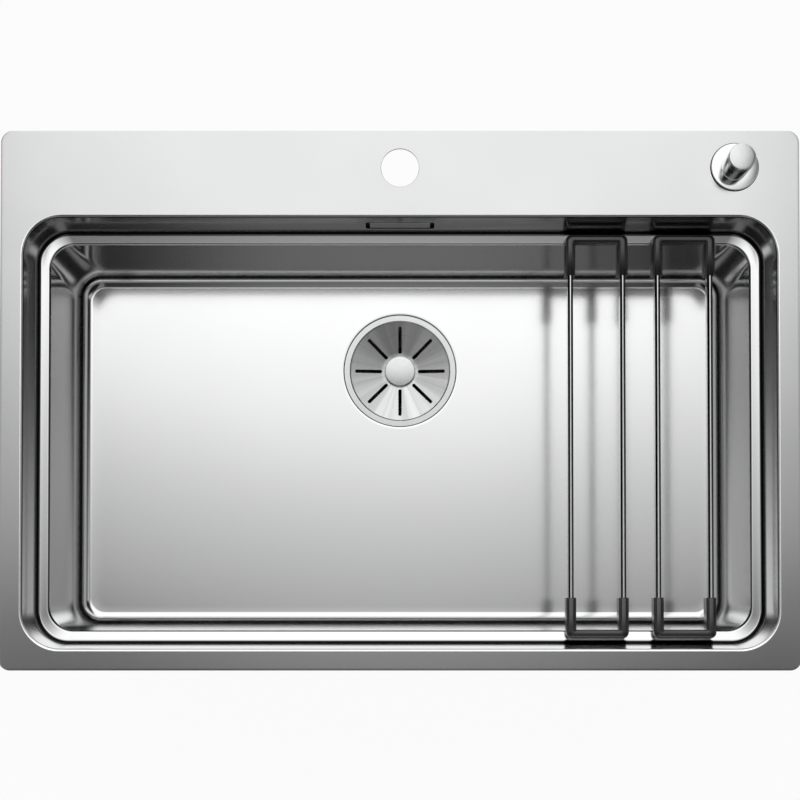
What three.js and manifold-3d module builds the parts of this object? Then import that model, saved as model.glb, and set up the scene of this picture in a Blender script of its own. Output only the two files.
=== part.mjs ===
// Drop-in kitchen sink: stepped steel bowl, two sliding rails, and a strainer waste lifted by a deck knob.
// Millimetres. X runs to the right along the worktop, Y to the back, Z up.
// The origin is the middle of the deck's outline, level with the surface of the worktop.

import * as THREE from 'three';
import { mergeVertices } from 'three/addons/utils/BufferGeometryUtils.js';
import Module from 'manifold-3d';

const wasm = await Module();
wasm.setup();

// Driving dimensions

const GAP = 0.3; // between pieces that touch or run on each other
const SHEET = 1.0; // steel sheet of the deck and bowl
const BEYOND = 5; // how far a cutting body runs past what it cuts

const DECK = { halfX: 370, halfY: 250, corner: 11, top: 3, bevel: 0.8 };
const DECK_UNDER = DECK.top - SHEET;

// The bowl's sections are rounded rectangles. Each inset is measured from the rim line in the deck.
const BOWL = {
  halfX: 351,
  halfY: 202,
  centreY: -30,
  rimCorner: 37,
  rimRound: 2.2,
  ledgeDepth: 50,
  ledgeStart: 10.3,
  ledgeEnd: 16.6,
  ledgeCorner: 27,
  shoulderCorner: 24,
  creaseRound: 4,
  ledgeRound: 2,
  wallFoot: 24.5,
  footCorner: 22,
  footRound: 11.7,
  floorCorner: 14,
  depth: 190, // at the edge of the waste
  funnelFall: 0.3, // the floor drops this much round the waste
  cornerSteps: 8,
};
const FLOOR = DECK.top - BOWL.depth; // height of the bowl floor at the waste

const WASTE = { x: 0, y: 51, funnel: 76, recess: 57.6, recessDepth: 2.7, hole: 54.4 };
const UNDER_RECESS = FLOOR - WASTE.recessDepth - SHEET - GAP;

const TAP_HOLE = { x: 0, y: 215.5, radius: 17.5, sides: 32 };

const SEAL = { width: 9, inset: 1.5, height: 1.7, innerCorner: 2 };
const SOUND_PAD = { width: 200, length: 270, corner: 12, x: 195, thick: 2.5 };

const WORKTOP = { thick: 30, cutoutHalfY: 240 }; // the worktop that the clamps are set for

// Clamp rails and clamps are drawn outward (u) from the bowl's wall and up from the worktop's surface (z).
const CLAMP_RAIL = {
  thick: 0.8,
  weldU: 5.5,
  weldZ: 1.2,
  webU: 0.9,
  footZ: -8.5,
  lipU: 4.1,
  lipZ: -5.7,
  clear: 1,
  backInset: 8,
};
const CLAMP = {
  width: 14,
  thick: 1.2,
  hookU: 2.5,
  hookLow: -7.2,
  hookTop: -4.8,
  legU: 5.6,
  armU: 16.5,
  armZ: -WORKTOP.thick - 9,
};
const SCREW = { u: 12, radius: 2, head: 4, headHeight: 3, pad: 3.2, padHeight: 1.5, below: 14, sides: 8 };

const OVERFLOW = {
  width: 64.5,
  height: 19.5,
  corner: 3,
  depth: 28, // middle of the slot, below the deck
  coverWidth: 57,
  coverHeight: 14.5,
  coverThick: 1.5,
  coverCorner: 1,
  clipX: 18,
  clipWidth: 5,
  clipHeight: 8,
  clipCorner: 0.5,
  boxWidth: 84,
  boxHeight: 34,
  boxDeep: 18,
  boxWall: 2,
  boxCorner: 5,
  hollowInset: 4,
  hollowCorner: 4,
  gasketThick: 2,
  gasketClear: 1.5,
  spigotTop: 6, // below the middle of the slot
};
const PIPE = { outer: 12.5, bore: 10.5, bend: 35, y: 184, top: -72, sides: 12, steps: 16 };
const PIPE_NUT = { radius: 19, half: 9, sides: 8 };

// Heights in the waste are drops below the bowl floor unless they end in Z.
const CUP = {
  flange: 56.9,
  flangeDrop: 1.5,
  flangeThick: 0.9,
  neck: 53.9,
  wall: 1,
  coneDrop: 24,
  coneEnd: 24,
  coneEndDrop: 40,
  tail: 20,
  tailDrop: 43,
  tailWall: 1.2,
  wallStep: 0.5,
  endZ: FLOOR - 58,
  sides: 32,
};
const GUIDE = {
  radius: 6,
  low: 2,
  high: 10,
  arms: 3,
  armStart: 4.5,
  armIn: 0.6,
  armThick: 2.4,
  armHeight: 5,
  armCorner: 0.6,
  armMiddle: 5,
};
const DRAIN_GASKET = { radius: 58.4, thick: 2 };
const LOCKNUT = {
  radius: 62,
  height: 12,
  lugs: 6,
  lugAt: 63,
  lugDeep: 8,
  lugWide: 9,
  lugCorner: 1,
  lugDrop: 2,
};

const HOUSING = {
  bore: 22.5,
  outer: 25.5,
  topZ: FLOOR - 50,
  footZ: FLOOR - 112,
  taper: 4,
  floorStart: 3,
  floorEnd: 2,
  outlet: 20,
  outletBore: 17.5,
  outletZ: FLOOR - 130,
  sides: 24,
};
const PORT = { z: FLOOR - 98, start: 20, boreStart: 5, end: 50 };
const GLAND = { radius: 8, start: 14, end: 42, sides: 12 };
const COUPLING = {
  radius: 31,
  lip: 2.3,
  skirt: 14,
  ribs: 6,
  ribAt: 31.5,
  ribDeep: 4,
  ribWide: 5,
  ribCorner: 0.8,
  ribLow: 13,
  ribHigh: 1,
};

const LEVER = {
  arm: 14,
  swing: THREE.MathUtils.degToRad(33.2),
  drop: 80,
  tip: 2.5,
  hub: 7,
  half: 3,
  web: 3,
  webCorner: 0.5,
  shaft: 4,
  shaftStart: -5,
  shaftEnd: 54,
  sides: 12,
};
const CRANK = { hub: 8, reach: 20, end: 4.5, cableHole: 1.5, start: 46, thick: 4 };
const BRACKET = {
  clasp: 10.5,
  start: 32,
  claspThick: 6,
  strapThick: 2,
  strapHalf: 7,
  strapTop: -4,
  strapZ: -32,
  strapEnd: 52,
  sheathX: 48,
  sheath: 2.5,
};

const DISH = {
  edge: 57.1,
  drop: 0.2,
  rim: 51.5,
  rimLip: 1,
  rimFall: 0.25,
  rimStep: 1.3,
  sheet: 0.9,
  deep: 8,
  bend: 20,
  bendRise: 0.5,
  flat: 15,
  hole: 5,
  slots: 8,
  slotFrom: 18.3,
  slotTo: 45.7,
  slotWide: 3,
  sides: 32,
};
const DISH_FLOOR = FLOOR - DISH.drop - DISH.deep;
const STRAINER_KNOB = { foot: 15.3, radius: 15, neck: 14.8, edge: 14.3, top: 13.2, height: 7.5 };
const STEM = { radius: 4, endZ: FLOOR - 46, plate: 18, plateDrop: 41.5, plateThick: 1.3, sides: 16 };
const STRAINER_SEAL = { top: 36, skirt: 37.2, foot: 39.9, radius: 27.2, footRadius: 23.4, sides: 24 };
const LIFTER = { head: 4.5, headHeight: 3, radius: 2.9, sides: 12 };

const CONTROL = { x: 310, y: 216, hole: 14, holeSides: 24 };
const SLEEVE = { radius: 13.6, neck: 8.6, neckDrop: 0.4, bore: 4.4, endZ: -28, sides: 24 };
const SPINDLE = { radius: 4, low: -46, high: DECK.top + 24, sides: 12 };
const ROSETTE = { radius: 22.5, bore: 9, low: DECK.top + GAP, high: DECK.top + 2.6, bevel: 0.6, sides: 32 };
const KNOB = {
  radius: 12.5,
  low: ROSETTE.high + GAP,
  high: DECK.top + 42,
  dome: 1,
  domeSteps: [0.35, 0.7, 1],
  edge: 0.9,
  edgeIn: 0.3,
  sides: 32,
};
const CONTROL_GASKET = { radius: 19.5, thick: 2 };
const CONTROL_WASHER = { radius: 18.5, thick: 1.2 };
const CONTROL_NUT = { radius: 20.5, height: 7 };
const DRUM = { radius: 12, low: -44, high: -34, edge: 2.5, groove: 2.2, sides: 20 };
const CABLE_BOX = {
  radius: 17,
  inner: 14.6,
  collar: 8,
  plate: 2.2,
  floorZ: -48,
  endZ: -50,
  clear: 0.5,
  glandZ: -39,
  gland: 4.5,
  glandEnd: 26,
  glandBore: 2.6,
  glandTurn: -Math.PI / 6,
  sides: 20,
};

const RAIL = {
  length: 382,
  spacing: 49.5,
  barThick: 5,
  barHeight: 16.5,
  barDrop: 2.3, // below the top of the shoes
  barEndGap: 1,
  shoeWide: 9.4,
  shoeHeight: 21,
  crossWide: 8.4,
  crossHeight: 14,
  legLength: 38.5,
  socketEndGap: 0.5,
  corner: 6,
  leftX: 186,
  rightX: 268.5,
};

const COLOURS = {
  steel: [0xc9cbcc, 0.3, 1],
  chrome: [0xdcdedf, 0.12, 1],
  rubber: [0x1b1b1c, 0.85, 0],
  blackPlastic: [0x222325, 0.5, 0],
  greyPlastic: [0x8d9194, 0.55, 0],
  zinc: [0xb4b7b6, 0.45, 1],
  brass: [0xb99a55, 0.35, 1],
};

// Geometry helpers

// Shared vertices merged, collapsed triangles dropped, faces pointing out.
function cleaned(geometry) {
  const bare = new THREE.BufferGeometry();
  bare.setAttribute('position', geometry.attributes.position.clone());
  if (geometry.index) bare.setIndex(geometry.index.clone());
  const merged = mergeVertices(bare, 1e-4);
  const points = merged.attributes.position.array;
  const source = merged.index.array;
  const kept = [];
  for (let i = 0; i < source.length; i += 3) {
    const [a, b, c] = [source[i], source[i + 1], source[i + 2]];
    if (a !== b && b !== c && c !== a) kept.push(a, b, c);
  }
  if (signedVolume(points, kept) < 0) kept.reverse();
  merged.setIndex(kept);
  return merged;
}

function signedVolume(points, triangles) {
  const corner = [new THREE.Vector3(), new THREE.Vector3(), new THREE.Vector3()];
  let sum = 0;
  for (let i = 0; i < triangles.length; i += 3) {
    corner.forEach((v, k) => v.fromArray(points, 3 * triangles[i + k]));
    sum += corner[0].dot(corner[1].clone().cross(corner[2])) / 6;
  }
  return sum;
}

function solid(geometry) {
  const clean = cleaned(geometry);
  return new wasm.Manifold(new wasm.Mesh({
    numProp: 3,
    vertProperties: Float32Array.from(clean.attributes.position.array),
    triVerts: Uint32Array.from(clean.index.array),
  }));
}

function geometryOf(body) {
  const mesh = body.getMesh();
  const geometry = new THREE.BufferGeometry();
  geometry.setAttribute('position', new THREE.BufferAttribute(Float32Array.from(mesh.vertProperties), 3));
  geometry.setIndex(Array.from(mesh.triVerts));
  return geometry;
}

function cut(body, ...tools) {
  return geometryOf(tools.reduce((left, tool) => left.subtract(solid(tool)), solid(body)));
}

function join(body, ...others) {
  return geometryOf(others.reduce((sum, other) => sum.add(solid(other)), solid(body)));
}

function common(body, other) {
  return geometryOf(solid(body).intersect(solid(other)));
}

// A profile of [radius, height] points turned about the Z axis.
function turned(profile, sides) {
  const loop = [...profile, profile[0]].map(([r, z]) => new THREE.Vector2(r, z));
  return new THREE.LatheGeometry(loop, sides).rotateX(Math.PI / 2);
}

function tube(outer, bore, low, high, sides) {
  return turned([[bore, low], [outer, low], [outer, high], [bore, high]], sides);
}

function rod(radius, low, high, sides) {
  return turned([[0, low], [radius, low], [radius, high], [0, high]], sides);
}

function shapeOf(points) {
  return new THREE.Shape(points.map(([x, y]) => new THREE.Vector2(x, y)));
}

function block(shape, low, high, curveSegments = 2) {
  const options = { depth: high - low, bevelEnabled: false, curveSegments };
  return new THREE.ExtrudeGeometry(shape, options).translate(0, 0, low);
}

// A shape drawn in X and Z, extruded along Y.
function blockAlongY(shape, low, high, curveSegments = 2) {
  return block(shape, -high, -low, curveSegments).rotateX(Math.PI / 2);
}

// A shape drawn in Y and Z, extruded along X.
function blockAlongX(shape, low, high, curveSegments = 2) {
  return block(shape, low, high, curveSegments).rotateZ(Math.PI / 2).rotateY(Math.PI / 2);
}

function roundedRectangle(width, height, radius, centreX = 0, centreY = 0) {
  const [x, y] = [width / 2 - radius, height / 2 - radius];
  const shape = new THREE.Shape();
  shape.absarc(centreX + x, centreY + y, radius, 0, Math.PI / 2);
  shape.absarc(centreX - x, centreY + y, radius, Math.PI / 2, Math.PI);
  shape.absarc(centreX - x, centreY - y, radius, Math.PI, 1.5 * Math.PI);
  shape.absarc(centreX + x, centreY - y, radius, 1.5 * Math.PI, 2 * Math.PI);
  return shape;
}

function polygon(count, radius, turn = 0) {
  const corner = (angle) => [radius * Math.cos(angle), radius * Math.sin(angle)];
  return shapeOf(Array.from({ length: count }, (_, i) => corner(turn + (2 * Math.PI * i) / count)));
}

// Copies of a piece spaced evenly about the Z axis.
function around(count, piece) {
  return Array.from({ length: count }, (_, i) => piece().rotateZ((2 * Math.PI * i) / count));
}

// A shape with a faceted round hole in it.
function holed(shape, radius, sides, x = 0, y = 0) {
  const ring = polygon(sides, radius).getPoints();
  shape.holes.push(new THREE.Path(ring.map((point) => point.add(new THREE.Vector2(x, y)))));
  return shape;
}

// The corner radius of a faceted bore whose flats clear a round piece by the usual gap.
function clearing(radius, sides) {
  return (radius + GAP) / Math.cos(Math.PI / sides);
}

// How far to move a corner between two directions to keep a sheet one unit thick.
function miter(before, after) {
  const [first, second] = [before, after].map((d) => new THREE.Vector2(-d.y, d.x).normalize());
  return first.clone().add(second).divideScalar(1 + first.dot(second));
}

function miters(points) {
  return points.map((point, i) => {
    const next = points[Math.min(i + 1, points.length - 1)];
    const last = points[Math.max(i - 1, 0)];
    const after = next.clone().sub(point);
    const before = point.clone().sub(last);
    if (i === 0) return miter(after, after);
    return i === points.length - 1 ? miter(before, before) : miter(before, after);
  });
}

// The outline of a bent strip, from the line along its middle.
function strip(line, thickness) {
  const points = line.map(([u, z]) => new THREE.Vector2(u, z));
  const shifts = miters(points);
  const side = (sign) => points.map((p, i) => p.clone().addScaledVector(shifts[i], (sign * thickness) / 2));
  return new THREE.Shape([...side(1), ...side(-1).reverse()]);
}

// Points of an arc about a centre, in degrees.
function arc(centre, radius, from, to, steps) {
  return Array.from({ length: steps + 1 }, (_, i) => {
    const angle = THREE.MathUtils.degToRad(from + ((to - from) * i) / steps);
    return [centre[0] + radius * Math.cos(angle), centre[1] + radius * Math.sin(angle)];
  });
}

// Sink body: one sheet, from the foot of the deck's turned-down edge to the edge of the waste hole.

function section(inset, depth, corner) {
  return {
    halfX: BOWL.halfX - inset,
    halfY: BOWL.halfY - inset,
    x: 0,
    y: BOWL.centreY,
    corner,
    z: DECK.top - depth,
  };
}

function circle(radius, z) {
  return { halfX: radius, halfY: radius, x: WASTE.x, y: WASTE.y, corner: radius, z };
}

function deckSection(inset, z) {
  return {
    halfX: DECK.halfX - inset,
    halfY: DECK.halfY - inset,
    x: 0,
    y: 0,
    corner: DECK.corner - inset,
    z,
  };
}

// Sections round a bend; each degree is handed to the drawing function as its cosine and sine.
function bend(degrees, draw) {
  return degrees.map((deg) => {
    const angle = THREE.MathUtils.degToRad(deg);
    return draw(Math.cos(angle), Math.sin(angle));
  });
}

function wetSections() {
  const b = BOWL;
  const rim = bend([90, 45, 0], (cos, sin) => (
    section(b.rimRound * cos, b.rimRound * (1 - sin), b.rimCorner - b.rimRound * (1 - sin))
  ));
  const creaseTop = b.ledgeDepth - b.creaseRound;
  const crease = bend([0, 45, 90], (cos, sin) => {
    const out = b.creaseRound * cos;
    return section(b.ledgeStart - out, creaseTop + b.creaseRound * sin, b.ledgeCorner + out);
  });
  const shoulder = bend([90, 45, 0], (cos, sin) => (
    section(b.ledgeEnd + b.ledgeRound * cos, b.ledgeDepth + b.ledgeRound * (1 - sin), b.shoulderCorner)
  ));
  const floorDepth = b.depth - b.funnelFall;
  const foot = bend([0, 30, 60, 90], (cos, sin) => {
    const corner = THREE.MathUtils.lerp(b.footCorner, b.floorCorner, 1 - cos);
    return section(b.wallFoot + b.footRound * (1 - cos), floorDepth - b.footRound * (1 - sin), corner);
  });
  return [
    deckSection(0, GAP),
    deckSection(0, DECK.top - DECK.bevel),
    deckSection(DECK.bevel, DECK.top),
    ...rim,
    ...crease,
    ...shoulder,
    ...foot,
    circle(WASTE.funnel, DECK.top - floorDepth),
    circle(WASTE.recess, FLOOR),
    circle(WASTE.recess, FLOOR - WASTE.recessDepth),
    circle(WASTE.hole, FLOOR - WASTE.recessDepth),
  ];
}

// The same sections moved to the dry side of the sheet.
function drySections(wet) {
  const shifts = miters(wet.map((s) => new THREE.Vector2(s.halfX, s.z)));
  return wet.map((s, i) => ({
    ...s,
    halfX: s.halfX + SHEET * shifts[i].x,
    halfY: s.halfY + SHEET * shifts[i].x,
    corner: s.corner + SHEET * shifts[i].x,
    z: s.z + SHEET * shifts[i].y,
  }));
}

// One loop round a section: each side's middle, then the corner after it.
function loopPoints(s) {
  const sides = [[1, 0], [0, 1], [-1, 0], [0, -1]];
  return sides.flatMap(([sideX, sideY], quarter) => {
    const cornerX = [1, -1, -1, 1][quarter] * (s.halfX - s.corner);
    const cornerY = [1, 1, -1, -1][quarter] * (s.halfY - s.corner);
    const middle = [s.x + sideX * s.halfX, s.y + sideY * s.halfY, s.z];
    const start = 90 * quarter;
    const round = arc([s.x + cornerX, s.y + cornerY], s.corner, start, start + 90, BOWL.cornerSteps);
    return [middle, ...round.map(([x, y]) => [x, y, s.z])];
  });
}

// A closed skin through loops of equal length, the last one joined to the first.
function skin(sections) {
  const loops = sections.map(loopPoints);
  const count = loops[0].length;
  const triangles = [];
  loops.forEach((_, row) => {
    const nextRow = (row + 1) % loops.length;
    for (let i = 0; i < count; i += 1) {
      const j = (i + 1) % count;
      const [a, b] = [row * count + i, row * count + j];
      const [c, d] = [nextRow * count + j, nextRow * count + i];
      triangles.push(a, b, c, a, c, d);
    }
  });
  const geometry = new THREE.BufferGeometry();
  geometry.setAttribute('position', new THREE.Float32BufferAttribute(loops.flat(2), 3));
  geometry.setIndex(triangles);
  return geometry;
}

// The back wall between rim and ledge leans back; the overflow pieces are drawn square to it.
const wallDrop = BOWL.ledgeDepth - BOWL.creaseRound - BOWL.rimRound;
const wallRun = BOWL.ledgeStart - BOWL.creaseRound - BOWL.rimRound;
const WALL_LEAN = Math.atan2(wallRun, wallDrop);
const slotInset = BOWL.rimRound + (wallRun * (OVERFLOW.depth - BOWL.rimRound)) / wallDrop;
const SLOT = { y: BOWL.centreY + BOWL.halfY - slotInset, z: DECK.top - OVERFLOW.depth };

function onBackWall(geometry) {
  return geometry.rotateX(-WALL_LEAN).translate(0, SLOT.y, SLOT.z);
}

function sinkBody() {
  const wet = wetSections();
  const sheet = skin([...wet, ...drySections(wet).reverse()]);
  const deckHole = (radius, sides) => rod(radius, DECK_UNDER - BEYOND, DECK.top + BEYOND, sides);
  const tapHole = deckHole(TAP_HOLE.radius, TAP_HOLE.sides).translate(TAP_HOLE.x, TAP_HOLE.y, 0);
  const controlHole = deckHole(CONTROL.hole, CONTROL.holeSides).translate(CONTROL.x, CONTROL.y, 0);
  const slotShape = roundedRectangle(OVERFLOW.width, OVERFLOW.height, OVERFLOW.corner);
  const slot = onBackWall(blockAlongY(slotShape, -BEYOND, BEYOND));
  return cut(sheet, tapHole, controlHole, slot);
}

function deckSeal() {
  const outer = SEAL.inset;
  const inner = SEAL.inset + SEAL.width;
  const innerSection = (z) => ({ ...deckSection(inner, z), corner: SEAL.innerCorner });
  return skin([
    deckSection(outer, 0),
    deckSection(outer, SEAL.height),
    innerSection(SEAL.height),
    innerSection(0),
  ]);
}

function soundPad(side) {
  const p = SOUND_PAD;
  const top = FLOOR + BOWL.funnelFall - SHEET - GAP;
  return block(roundedRectangle(p.width, p.length, p.corner, side * p.x, BOWL.centreY), top - p.thick, top);
}

// Under the deck: J-shaped strips that the clamps hook on. u points away from the bowl on each side.

const SIDES = {
  right: { x: BOWL.halfX + CLAMP_RAIL.clear, y: 0, turn: 0, along: 1 },
  left: { x: -BOWL.halfX - CLAMP_RAIL.clear, y: 0, turn: Math.PI, along: -1 },
  front: { x: 0, y: BOWL.centreY - BOWL.halfY - CLAMP_RAIL.clear, turn: -Math.PI / 2, along: 1 },
  back: { x: 0, y: WORKTOP.cutoutHalfY - CLAMP_RAIL.backInset, turn: Math.PI / 2, along: -1 },
};

// Moves a piece drawn in u and z to a side, at a distance along that side in X or Y.
function underSide(geometry, side, distance) {
  const place = SIDES[side];
  return geometry.translate(0, distance * place.along, 0).rotateZ(place.turn).translate(place.x, place.y, 0);
}

function clampRail(side, start, end) {
  const r = CLAMP_RAIL;
  const half = (end - start) / 2;
  const line = [
    [r.weldU, r.weldZ],
    [r.webU, r.weldZ],
    [r.webU, r.footZ],
    [r.lipU, r.footZ],
    [r.lipU, r.lipZ],
  ];
  return underSide(blockAlongY(strip(line, r.thick), -half, half), side, start + half);
}

const CLAMPS = [
  ['front_left', 'front', -180],
  ['front_right', 'front', 180],
  ['left', 'left', -30],
  ['right', 'right', -30],
  ['back_left', 'back', -180],
  ['back_right', 'back', 170],
];

function clampHook(side, distance) {
  const c = CLAMP;
  const line = [
    [c.hookU, c.hookLow],
    [c.hookU, c.hookTop],
    [c.legU, c.hookTop],
    [c.legU, c.armZ],
    [c.armU, c.armZ],
  ];
  const hook = blockAlongY(strip(line, c.thick), -c.width / 2, c.width / 2);
  const hole = rod(SCREW.radius + GAP, c.armZ - BEYOND, c.armZ + BEYOND, SCREW.sides);
  return underSide(cut(hook, hole.translate(SCREW.u, 0, 0)), side, distance);
}

function clampScrew(side, distance) {
  const s = SCREW;
  const tip = -WORKTOP.thick - GAP;
  const foot = CLAMP.armZ - s.below;
  const profile = [
    [0, foot],
    [s.head, foot],
    [s.head, foot + s.headHeight],
    [s.radius, foot + s.headHeight],
    [s.radius, tip - s.padHeight],
    [s.pad, tip - s.padHeight],
    [s.pad, tip],
    [0, tip],
  ];
  return underSide(turned(profile, s.sides).translate(s.u, 0, 0), side, distance);
}

// Overflow: cover in the slot, housing and gasket behind the wall, rigid pipe down to the waste.

const GASKET_FRONT = SHEET + GAP;
const BOX_FRONT = GASKET_FRONT + OVERFLOW.gasketThick + GAP;
const BOX_BACK = BOX_FRONT + OVERFLOW.boxDeep;
const HOLLOW_BACK = BOX_BACK - OVERFLOW.boxWall;

function overflowCover() {
  const o = OVERFLOW;
  const plate = blockAlongY(roundedRectangle(o.coverWidth, o.coverHeight, o.coverCorner), 0, o.coverThick);
  const clip = (x) => {
    const shape = roundedRectangle(o.clipWidth, o.clipHeight, o.clipCorner, x, 0);
    return blockAlongY(shape, o.coverThick / 2, HOLLOW_BACK - GAP);
  };
  return onBackWall(join(plate, clip(-o.clipX), clip(o.clipX)));
}

function overflowGasket() {
  const o = OVERFLOW;
  const frame = roundedRectangle(o.boxWidth, o.boxHeight, o.boxCorner);
  const grow = 2 * o.gasketClear;
  frame.holes.push(roundedRectangle(o.width + grow, o.height + grow, o.hollowCorner));
  return onBackWall(blockAlongY(frame, GASKET_FRONT, GASKET_FRONT + o.gasketThick));
}

function overflowHousing() {
  const o = OVERFLOW;
  const outer = blockAlongY(roundedRectangle(o.boxWidth, o.boxHeight, o.boxCorner), BOX_FRONT, BOX_BACK);
  const [width, height] = [o.boxWidth - 2 * o.hollowInset, o.boxHeight - 2 * o.hollowInset];
  const inner = blockAlongY(roundedRectangle(width, height, o.hollowCorner), BOX_FRONT - BEYOND, HOLLOW_BACK);
  const spigotTop = SLOT.z - o.spigotTop;
  const spigot = rod(PIPE.outer, PIPE.top + GAP, spigotTop, PIPE.sides).translate(0, PIPE.y, 0);
  const bore = rod(PIPE.bore, PIPE.top - BEYOND, SLOT.z, PIPE.sides).translate(0, PIPE.y, 0);
  return cut(join(onBackWall(outer), spigot), onBackWall(inner), bore);
}

function overflowPipe() {
  const p = PIPE;
  const point = (y, z) => new THREE.Vector3(WASTE.x, y, z);
  const [bendTop, bendEnd] = [point(p.y, PORT.z + p.bend), point(p.y - p.bend, PORT.z)];
  const path = new THREE.CurvePath();
  path.add(new THREE.LineCurve3(point(p.y, p.top), bendTop));
  path.add(new THREE.QuadraticBezierCurve3(bendTop, point(p.y, PORT.z), bendEnd));
  path.add(new THREE.LineCurve3(bendEnd, point(WASTE.y + PORT.end + GAP, PORT.z)));
  const wall = holed(polygon(p.sides, p.outer), p.bore, p.sides);
  return new THREE.ExtrudeGeometry(wall, { extrudePath: path, steps: p.steps, bevelEnabled: false });
}

function pipeNut() {
  const n = PIPE_NUT;
  const shape = holed(polygon(n.sides, n.radius), clearing(PIPE.outer, PIPE.sides), PIPE.sides);
  return block(shape, -n.half, n.half);
}

// Waste: cup through the bowl floor, clamped by a locknut, with the lifting linkage in the housing below.

function atWaste(geometry) {
  return geometry.translate(WASTE.x, WASTE.y, 0);
}

function drainCup() {
  const c = CUP;
  const top = FLOOR - c.flangeDrop;
  const shell = turned([
    [c.flange, top],
    [c.neck - c.wall, top],
    [c.neck - c.wall, FLOOR - c.coneDrop],
    [c.coneEnd, FLOOR - c.coneEndDrop],
    [c.tail, FLOOR - c.tailDrop],
    [c.tail, c.endZ],
    [c.tail + c.tailWall, c.endZ],
    [c.tail + c.tailWall, FLOOR - c.tailDrop - c.wallStep],
    [c.neck, FLOOR - c.coneDrop - c.wallStep],
    [c.neck, top - c.flangeThick],
    [c.flange, top - c.flangeThick],
  ], c.sides);
  const g = GUIDE;
  const bore = clearing(LIFTER.radius, LIFTER.sides);
  const guide = tube(g.radius, bore, c.endZ + g.low, c.endZ + g.high, LIFTER.sides);
  const armShape = () => roundedRectangle(g.armThick, g.armHeight, g.armCorner, 0, c.endZ + g.armMiddle);
  const arm = () => blockAlongX(armShape(), g.armStart, c.tail + g.armIn, 1);
  return atWaste(join(shell, guide, ...around(g.arms, arm)));
}

function drainGasket() {
  const g = DRAIN_GASKET;
  return atWaste(tube(g.radius, CUP.neck + GAP, UNDER_RECESS - g.thick, UNDER_RECESS, CUP.sides));
}

function drainLocknut() {
  const n = LOCKNUT;
  const top = UNDER_RECESS - DRAIN_GASKET.thick - GAP;
  const low = top - n.height;
  const ring = tube(n.radius, CUP.neck, low, top, CUP.sides);
  const lugShape = () => roundedRectangle(n.lugDeep, n.lugWide, n.lugCorner, n.lugAt, 0);
  const lug = () => block(lugShape(), low, top - n.lugDrop, 1);
  const clear = rod(clearing(CUP.neck, CUP.sides), low - BEYOND, top + BEYOND, CUP.sides);
  return atWaste(cut(join(ring, ...around(n.lugs, lug)), clear));
}

const LEVER_AXIS = { y: WASTE.y - LEVER.arm, z: FLOOR - LEVER.drop };

function wasteHousing() {
  const h = HOUSING;
  const body = turned([
    [0, h.outletZ],
    [h.outlet, h.outletZ],
    [h.outlet, h.footZ - h.taper],
    [h.outer, h.footZ],
    [h.outer, h.topZ],
    [0, h.topZ],
  ], h.sides);
  const inside = turned([
    [0, h.outletZ - BEYOND],
    [h.outletBore, h.outletZ - BEYOND],
    [h.outletBore, h.footZ - h.floorEnd],
    [h.bore, h.footZ + h.floorStart],
    [h.bore, h.topZ + BEYOND],
    [0, h.topZ + BEYOND],
  ], h.sides);
  const backward = (radius, low, high) => (
    rod(radius, low, high, PIPE.sides).rotateX(-Math.PI / 2).translate(0, 0, PORT.z)
  );
  const sideward = (radius, low, high) => (
    rod(radius, low, high, GLAND.sides).rotateY(Math.PI / 2).translate(0, -LEVER.arm, LEVER_AXIS.z)
  );
  const port = backward(PIPE.outer, PORT.start, PORT.end);
  const portBore = backward(PIPE.bore, PORT.boreStart, PORT.end + BEYOND);
  const gland = sideward(GLAND.radius, GLAND.start, GLAND.end);
  const glandBore = sideward(clearing(LEVER.shaft, GLAND.sides), 0, GLAND.end + BEYOND);
  return atWaste(cut(join(body, port, gland), inside, portBore, glandBore));
}

function wasteCouplingNut() {
  const n = COUPLING;
  const top = HOUSING.topZ;
  const neck = clearing(CUP.tail + CUP.tailWall, HOUSING.sides);
  const bore = clearing(HOUSING.outer, HOUSING.sides);
  const ring = turned([
    [neck, top + GAP],
    [neck, top + n.lip],
    [n.radius, top + n.lip],
    [n.radius, top - n.skirt],
    [bore, top - n.skirt],
    [bore, top + GAP],
  ], HOUSING.sides);
  const ribShape = () => roundedRectangle(n.ribDeep, n.ribWide, n.ribCorner, n.ribAt, 0);
  const rib = () => block(ribShape(), top - n.ribLow, top + n.ribHigh, 1);
  return atWaste(join(ring, ...around(n.ribs, rib)));
}

// The lever's finger hangs half its swing below level at rest, so it lifts evenly either side of level.
const REST_DROP = LEVER.swing / 2;
const TIP_TOP = LEVER_AXIS.z - LEVER.arm * Math.sin(REST_DROP) + LEVER.tip;

function atLever(geometry) {
  return geometry.translate(WASTE.x, LEVER_AXIS.y, LEVER_AXIS.z);
}

// A rod along X.
function axle(radius, low, high, sides) {
  return rod(radius, low, high, sides).rotateY(Math.PI / 2);
}

function leverFinger() {
  const l = LEVER;
  const hub = axle(l.hub, -l.half, l.half, 16);
  const tip = axle(l.tip, -l.half, l.half, l.sides).translate(0, l.arm, 0);
  const web = blockAlongX(roundedRectangle(l.arm, l.web, l.webCorner, l.arm / 2, -1), -l.half, l.half, 1);
  const hole = axle(clearing(l.shaft, l.sides), -l.half - BEYOND, l.half + BEYOND, l.sides);
  return atLever(cut(join(hub, tip, web), hole).rotateX(-REST_DROP));
}

function leverShaft() {
  return atLever(axle(LEVER.shaft, LEVER.shaftStart, LEVER.shaftEnd, LEVER.sides));
}

function leverCrank() {
  const c = CRANK;
  const arm = new THREE.Shape();
  arm.absarc(0, 0, c.hub, 0, Math.PI);
  arm.absarc(0, -c.reach, c.end, Math.PI, 2 * Math.PI);
  holed(arm, clearing(LEVER.shaft, LEVER.sides), LEVER.sides);
  holed(arm, c.cableHole, 8, 0, -c.reach);
  return atLever(blockAlongX(arm, c.start, c.start + c.thick, 4));
}

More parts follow.
